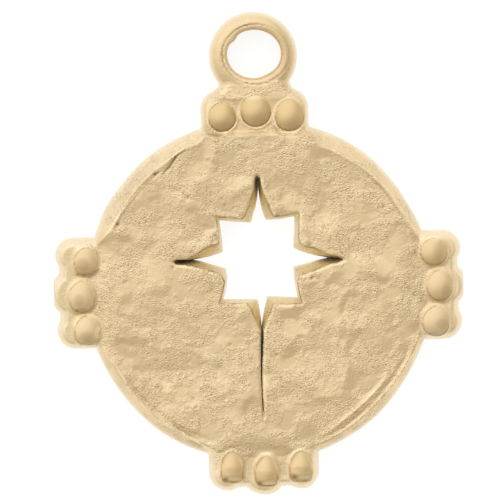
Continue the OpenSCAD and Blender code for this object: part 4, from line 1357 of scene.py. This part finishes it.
# The edge round the star has a painted highlight along it, with a line of painted shade where the
# wall begins. Both are broken, and weak or missing along the slit.
from_star = star_distance(x, y)
broken = 0.6 + 0.4 * np.clip(uneven(x, y, 0.9, 31), -1, 1)
above_slit = np.clip((y - STAR_UP + 3.4) / 0.4, 0.15 + 0.6 * (x > STAR_ACROSS), 1)
light_line = 0.8 * broken * above_slit * np.exp(-((from_star - 0.15) / 0.06) ** 2)
highlight_paint = np.maximum(highlight_paint, light_line)
dark_line = 0.6 * broken * (np.abs(from_star) < 0.02) * part_way(y - STAR_UP + 4.2, 0.5)
shade_paint = np.maximum(shade_paint, dark_line)

# Creases and pits get painted shade, and the thin raised lines get a painted highlight.
for _, _, dark, points in CREASES:
    apart, fade = follow_line(across, down, points)
    line = abs(dark) * np.sqrt(fade) * np.clip(1.3 - np.abs(apart), 0, 1)
    if dark > 0:
        shade_paint = np.maximum(shade_paint, line)
    else:
        highlight_paint = np.maximum(highlight_paint, line)
for pit_across, pit_down, radius, depth in PITS:
    apart = np.hypot(across - pit_across, down - pit_down) / radius
    shade_paint = np.maximum(shade_paint, part_way(depth - 3, 8) * np.exp(-(apart / 0.75) ** 2))

# The star's walls get painted light and shade: pale painted light at the square, most on its lower
# walls, and towards the back where the white floor lights them; warm painted bounce light in the
# points; and painted shade that darkens into the points.
order = np.array([vert[number] for vert in grid.verts])
sunk = heights[order] - np.array([vert.co.z for vert in grid.verts])
on_top = sunk < 1e-6
on_wall = on_star[order]
into_points = np.maximum(np.abs(x - STAR_ACROSS), np.abs(y - STAR_UP))[order]
in_arm = part_way(into_points - 2.7, 0.6)
lower = part_way(STAR_UP - 1.5 - y[order], 0.6)
wall_light = np.maximum((1 - in_arm) * (0.3 + 0.7 * lower), 0.35 * in_arm)
wall_light = np.maximum(wall_light, 0.8 * part_way(sunk - 1.0, 0.6))
masks = {
    "hammered": hammered[order],
    "warm": warm[order],
    # painted shade in patches
    "painted_shade_patches": patches(SHADE_PATCHES)[order] * on_top,
    "rubbed": rubbed[order],
    # painted light on the slopes, and the polish of the ring and neck
    "polish_and_painted_light": np.minimum(polish_and_painted_light, 1)[order],
    # painted bounce light on the walls of the star's points
    "arm_walls_bounce_lit": on_wall * np.minimum(sunk / 0.2, 1) * in_arm,
    # pale outer edges, and painted light on the star's walls
    "pale_edges_and_wall_light": np.where(on_wall, np.minimum(sunk / 0.3, 1) * wall_light, pale[order]),
    # painted highlights
    "painted_highlight": np.clip(highlight_paint, 0, 1)[order] * on_top,
    # painted shade deep in the star's points
    "shaded": on_wall * np.minimum(sunk / 0.2, 1) * part_way(into_points - 4.8 + 0.4 * sunk, 0.7),
    # painted shade in creases, pits and seams, and along the lip and the star's edge
    "painted_shade": np.clip(shade_paint, 0, 1)[order] * on_top,
}

# The finished mesh goes to its place in the frame, with the disc's middle a little below the
# frame's origin, and from millimetres to metres.
DISC_BELOW = 2.525
MILLIMETRE = 0.001
bmesh.ops.translate(grid, verts=grid.verts, vec=(0, -DISC_BELOW, 0))
bmesh.ops.scale(grid, verts=grid.verts, vec=(MILLIMETRE, MILLIMETRE, MILLIMETRE))
SHARP_FROM = 52
casting_mesh = bpy.data.meshes.new("casting")
grid.to_mesh(casting_mesh)
grid.free()
for name, values in masks.items():
    layer = casting_mesh.attributes.new(name, "FLOAT", "POINT")
    layer.data.foreach_set("value", values.astype(np.float32))
casting_mesh.shade_smooth()
casting_mesh.set_sharp_from_angle(angle=math.radians(SHARP_FROM))
casting = bpy.data.objects.new("casting", casting_mesh)
bpy.context.scene.collection.objects.link(casting)

# The metal's finish.
# Gold plate over brass, tumbled to a satin sheen: the hammered face is matt and grainy, the beads
# are the brightest, and the star's walls were never polished and are rougher. Some colours are
# painted light and shade: highlights, shade in creases and seams, light on the slopes that face away
# from the light, and bounce light, pale light and shade on the star's walls. The first values are
# how many grains, specks, patches of grain and stains lie along a metre.
GRAINS = 12500
SPECKS = 10500
PATCHES = 600
STAINS = 420
GRAIN_DEPTH = 0.00009
gold = bpy.data.materials.new("satin_gold")
gold.use_nodes = True
nodes = gold.node_tree.nodes
links = gold.node_tree.links
metal = nodes["Principled BSDF"]
metal.inputs["Metallic"].default_value = 1.0
place = nodes.new("ShaderNodeTexCoord")
# the grain is a little longer across than up and down
stretched = nodes.new("ShaderNodeMapping")
stretched.inputs["Rotation"].default_value = (0.0, 0.0, 0.35)
stretched.inputs["Scale"].default_value = (0.62, 1.0, 1.0)
links.new(place.outputs["Object"], stretched.inputs["Vector"])


def mask(name):
    node = nodes.new("ShaderNodeAttribute")
    node.attribute_name = name
    return node.outputs["Fac"]


def lumps(scale, detail, roughness=0.5, where=place.outputs["Object"]):
    """Soft random lumps from 0 to 1."""
    node = nodes.new("ShaderNodeTexNoise")
    node.inputs["Scale"].default_value = scale
    node.inputs["Detail"].default_value = detail
    node.inputs["Roughness"].default_value = roughness
    links.new(where, node.inputs["Vector"])
    return node.outputs["Fac"]


def spread(value, low, high, start=0.0, end=1.0):
    """Takes a value that runs from start to end to one that runs from low to high."""
    node = nodes.new("ShaderNodeMapRange")
    node.inputs["From Min"].default_value = start
    node.inputs["From Max"].default_value = end
    node.inputs["To Min"].default_value = low
    node.inputs["To Max"].default_value = high
    links.new(value, node.inputs["Value"])
    return node.outputs["Result"]


def combined(how, first, second):
    node = nodes.new("ShaderNodeMath")
    node.operation = how
    links.new(first, node.inputs[0])
    links.new(second, node.inputs[1])
    return node.outputs["Value"]


def tint(share, under, paint):
    """Lays a colour over another, or over a plain one, where a mask says."""
    node = nodes.new("ShaderNodeMix")
    node.data_type = "RGBA"
    if isinstance(under, tuple):
        node.inputs["A"].default_value = (*under, 1.0)
    else:
        links.new(under, node.inputs["A"])
    node.inputs["B"].default_value = (*paint, 1.0)
    links.new(share, node.inputs["Factor"])
    return node.outputs["Result"]


grain = lumps(GRAINS, 1.0, where=stretched.outputs["Vector"])
# it comes in patches
patchy = spread(lumps(PATCHES, 3.0, 0.6), 0.0, 1.0, 0.42, 0.58)
grainy = combined("MULTIPLY", mask("hammered"), spread(patchy, 0.12, 1.0))
# each speck is one small dot, dark or light by chance
dots = nodes.new("ShaderNodeTexVoronoi")
dots.inputs["Scale"].default_value = SPECKS
links.new(stretched.outputs["Vector"], dots.inputs["Vector"])
dot = combined("MULTIPLY", spread(dots.outputs["Distance"], 0.0, 1.0, 0.5, 0.2), grainy)
# The plate's two colours, those that lie over them where a mask says, the dark and light specks
# with the range of chance that makes them, and the colours that lie over the specks.
PLATE = [(0.80, 0.62, 0.375), (0.76, 0.58, 0.34)]
UNDER_SPECKS = {
    "warm": (0.70, 0.515, 0.265),
    # painted shade
    "painted_shade_patches": (0.58, 0.42, 0.22),
    "rubbed": (0.74, 0.587, 0.366),
    # painted light on the slopes
    "polish_and_painted_light": (0.87, 0.68, 0.42),
    # painted bounce light
    "arm_walls_bounce_lit": (0.84, 0.68, 0.34),
}
SPECK_COLOURS = [[0.42, 0.25, (0.30, 0.20, 0.09)], [0.55, 0.75, (0.98, 0.84, 0.58)]]
OVER_SPECKS = {
    # pale edges, and painted light on the star's walls
    "pale_edges_and_wall_light": (0.93, 0.81, 0.60),
    # painted highlight
    "painted_highlight": (1.0, 0.83, 0.53),
    # painted shade
    "shaded": (0.50, 0.40, 0.26),
    # painted shade
    "painted_shade": (0.20, 0.13, 0.06),
}
colour = tint(spread(lumps(STAINS, 3.0), -0.3, 1.3), *PLATE)
for name, paint in UNDER_SPECKS.items():
    colour = tint(mask(name), colour, paint)
for start, end, paint in SPECK_COLOURS:
    chosen = spread(dots.outputs["Color"], 0.0, 1.0, start, end)
    colour = tint(combined("MULTIPLY", chosen, dot), colour, paint)
for name, paint in OVER_SPECKS.items():
    colour = tint(mask(name), colour, paint)
links.new(colour, metal.inputs["Base Color"])
rough = combined("ADD", spread(mask("hammered"), 0.47, 0.42), spread(grain, -0.06, 0.06))
rough = combined("ADD", rough, spread(mask("arm_walls_bounce_lit"), 0.0, 0.2))
links.new(rough, metal.inputs["Roughness"])
bump = nodes.new("ShaderNodeBump")
bump.inputs["Strength"].default_value = 1.0
bump.inputs["Distance"].default_value = GRAIN_DEPTH
links.new(combined("MULTIPLY", grain, grainy), bump.inputs["Height"])
links.new(bump.outputs["Normal"], metal.inputs["Normal"])
casting.data.materials.append(gold)
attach(casting, "root")
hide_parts("pendant")

# The floor.
# A plain white sheet, lit from below like a light table, so that it stays white right up to the
# metal and through the star and the loop. It lies just under the flat back.
FLOOR_DROP = 0.00002
sheet = bmesh.new()
bmesh.ops.create_grid(sheet, x_segments=1, y_segments=1, size=1.5)
bmesh.ops.translate(sheet, verts=sheet.verts, vec=(0, 0, -FLOOR_DROP))
floor_mesh = bpy.data.meshes.new("floor")
sheet.to_mesh(floor_mesh)
sheet.free()
floor = bpy.data.objects.new("floor", floor_mesh)
bpy.context.scene.collection.objects.link(floor)
white = bpy.data.materials.new("light_table")
white.use_nodes = True
paper = white.node_tree.nodes["Principled BSDF"]
paper.inputs["Base Color"].default_value = (0.25, 0.25, 0.25, 1)
paper.inputs["Roughness"].default_value = 1.0
paper.inputs["Specular IOR Level"].default_value = 0.0
paper.inputs["Emission Color"].default_value = (1, 1, 1, 1)
paper.inputs["Emission Strength"].default_value = 0.82
floor.data.materials.append(white)

# The light.
# A white tent stands round the pendant. It is brightest at the upper left, and the gap for the
# camera leaves a darker patch overhead that leans towards the lower edge.
BRIGHT_SIDE = (-0.5, 0.85, 0.7)
DARK_PATCH = (0.3, -0.8, 0.6)
world = bpy.data.worlds.new("tent")
bpy.context.scene.world = world
world.use_nodes = True
tent = world.node_tree
backdrop = tent.nodes["Background"]
towards = tent.nodes.new("ShaderNodeTexCoord")


def dome_part(direction, near, far, low, high):
    """Light that changes with the angle from one direction, from low far off to high near it."""
    dot = tent.nodes.new("ShaderNodeVectorMath")
    dot.operation = "DOT_PRODUCT"
    dot.inputs[1].default_value = Vector(direction).normalized()
    tent.links.new(towards.outputs["Generated"], dot.inputs[0])
    span = tent.nodes.new("ShaderNodeMapRange")
    span.interpolation_type = "SMOOTHSTEP"
    span.inputs["From Min"].default_value = math.cos(math.radians(far))
    span.inputs["From Max"].default_value = math.cos(math.radians(near))
    span.inputs["To Min"].default_value = low
    span.inputs["To Max"].default_value = high
    tent.links.new(dot.outputs["Value"], span.inputs["Value"])
    return span.outputs["Result"]


strength = tent.nodes.new("ShaderNodeMath")
strength.operation = "MULTIPLY"
tent.links.new(dome_part(BRIGHT_SIDE, 40, 72, low=0.74, high=1.36), strength.inputs[0])
tent.links.new(dome_part(DARK_PATCH, 15, 55, low=1.0, high=0.76), strength.inputs[1])
tent.links.new(strength.outputs["Value"], backdrop.inputs["Strength"])
# the bright side is a cool white, and what faces away from it sees warmer light
cast = tent.nodes.new("ShaderNodeMix")
cast.data_type = "RGBA"
cast.inputs["A"].default_value = (1.01, 0.972, 0.875, 1)
cast.inputs["B"].default_value = (0.985, 1.01, 1.06, 1)
tent.links.new(dome_part(BRIGHT_SIDE, 40, 72, low=0.0, high=1.0), cast.inputs["Factor"])
tent.links.new(cast.outputs["Result"], backdrop.inputs["Color"])

# The camera.
# It looks down on the face, tilted a little towards the loop, with the pendant turned slightly.
# The disc's middle, at the back's level, is seen at the pixel SEEN_ACROSS, SEEN_DOWN.
PICTURE = 500
SEEN_ACROSS = 258.35
SEEN_DOWN = 288.5
PIXEL_METRES = PIXEL * MILLIMETRE
SENSOR = 36
DISTANCE = 0.5
TILT = (-0.0175, 0.0963, 1.0)
TURN = 1.5
camera_data = bpy.data.cameras.new("camera")
camera_data.sensor_width = SENSOR
camera_data.lens = SENSOR * DISTANCE / (PICTURE * PIXEL_METRES)
camera_data.clip_start = 0.01
camera_data.clip_end = 10
camera = bpy.data.objects.new("camera", camera_data)
bpy.context.scene.collection.objects.link(camera)
bpy.context.scene.camera = camera
backwards = Vector(TILT).normalized()
upwards = Vector((math.sin(math.radians(TURN)), math.cos(math.radians(TURN)), 0.0))
rightwards = upwards.cross(backwards).normalized()
upwards = backwards.cross(rightwards).normalized()
target = Vector((0, -DISC_BELOW * MILLIMETRE, 0))
target -= rightwards * (SEEN_ACROSS - PICTURE / 2) * PIXEL_METRES
target += upwards * (SEEN_DOWN - PICTURE / 2) * PIXEL_METRES
spot = target + backwards * DISTANCE
camera.matrix_world = Matrix((
    (rightwards.x, upwards.x, backwards.x, spot.x),
    (rightwards.y, upwards.y, backwards.y, spot.y),
    (rightwards.z, upwards.z, backwards.z, spot.z),
    (0, 0, 0, 1),
))
bpy.context.scene.view_settings.view_transform = "Standard"
bpy.context.scene.view_settings.look = "None"
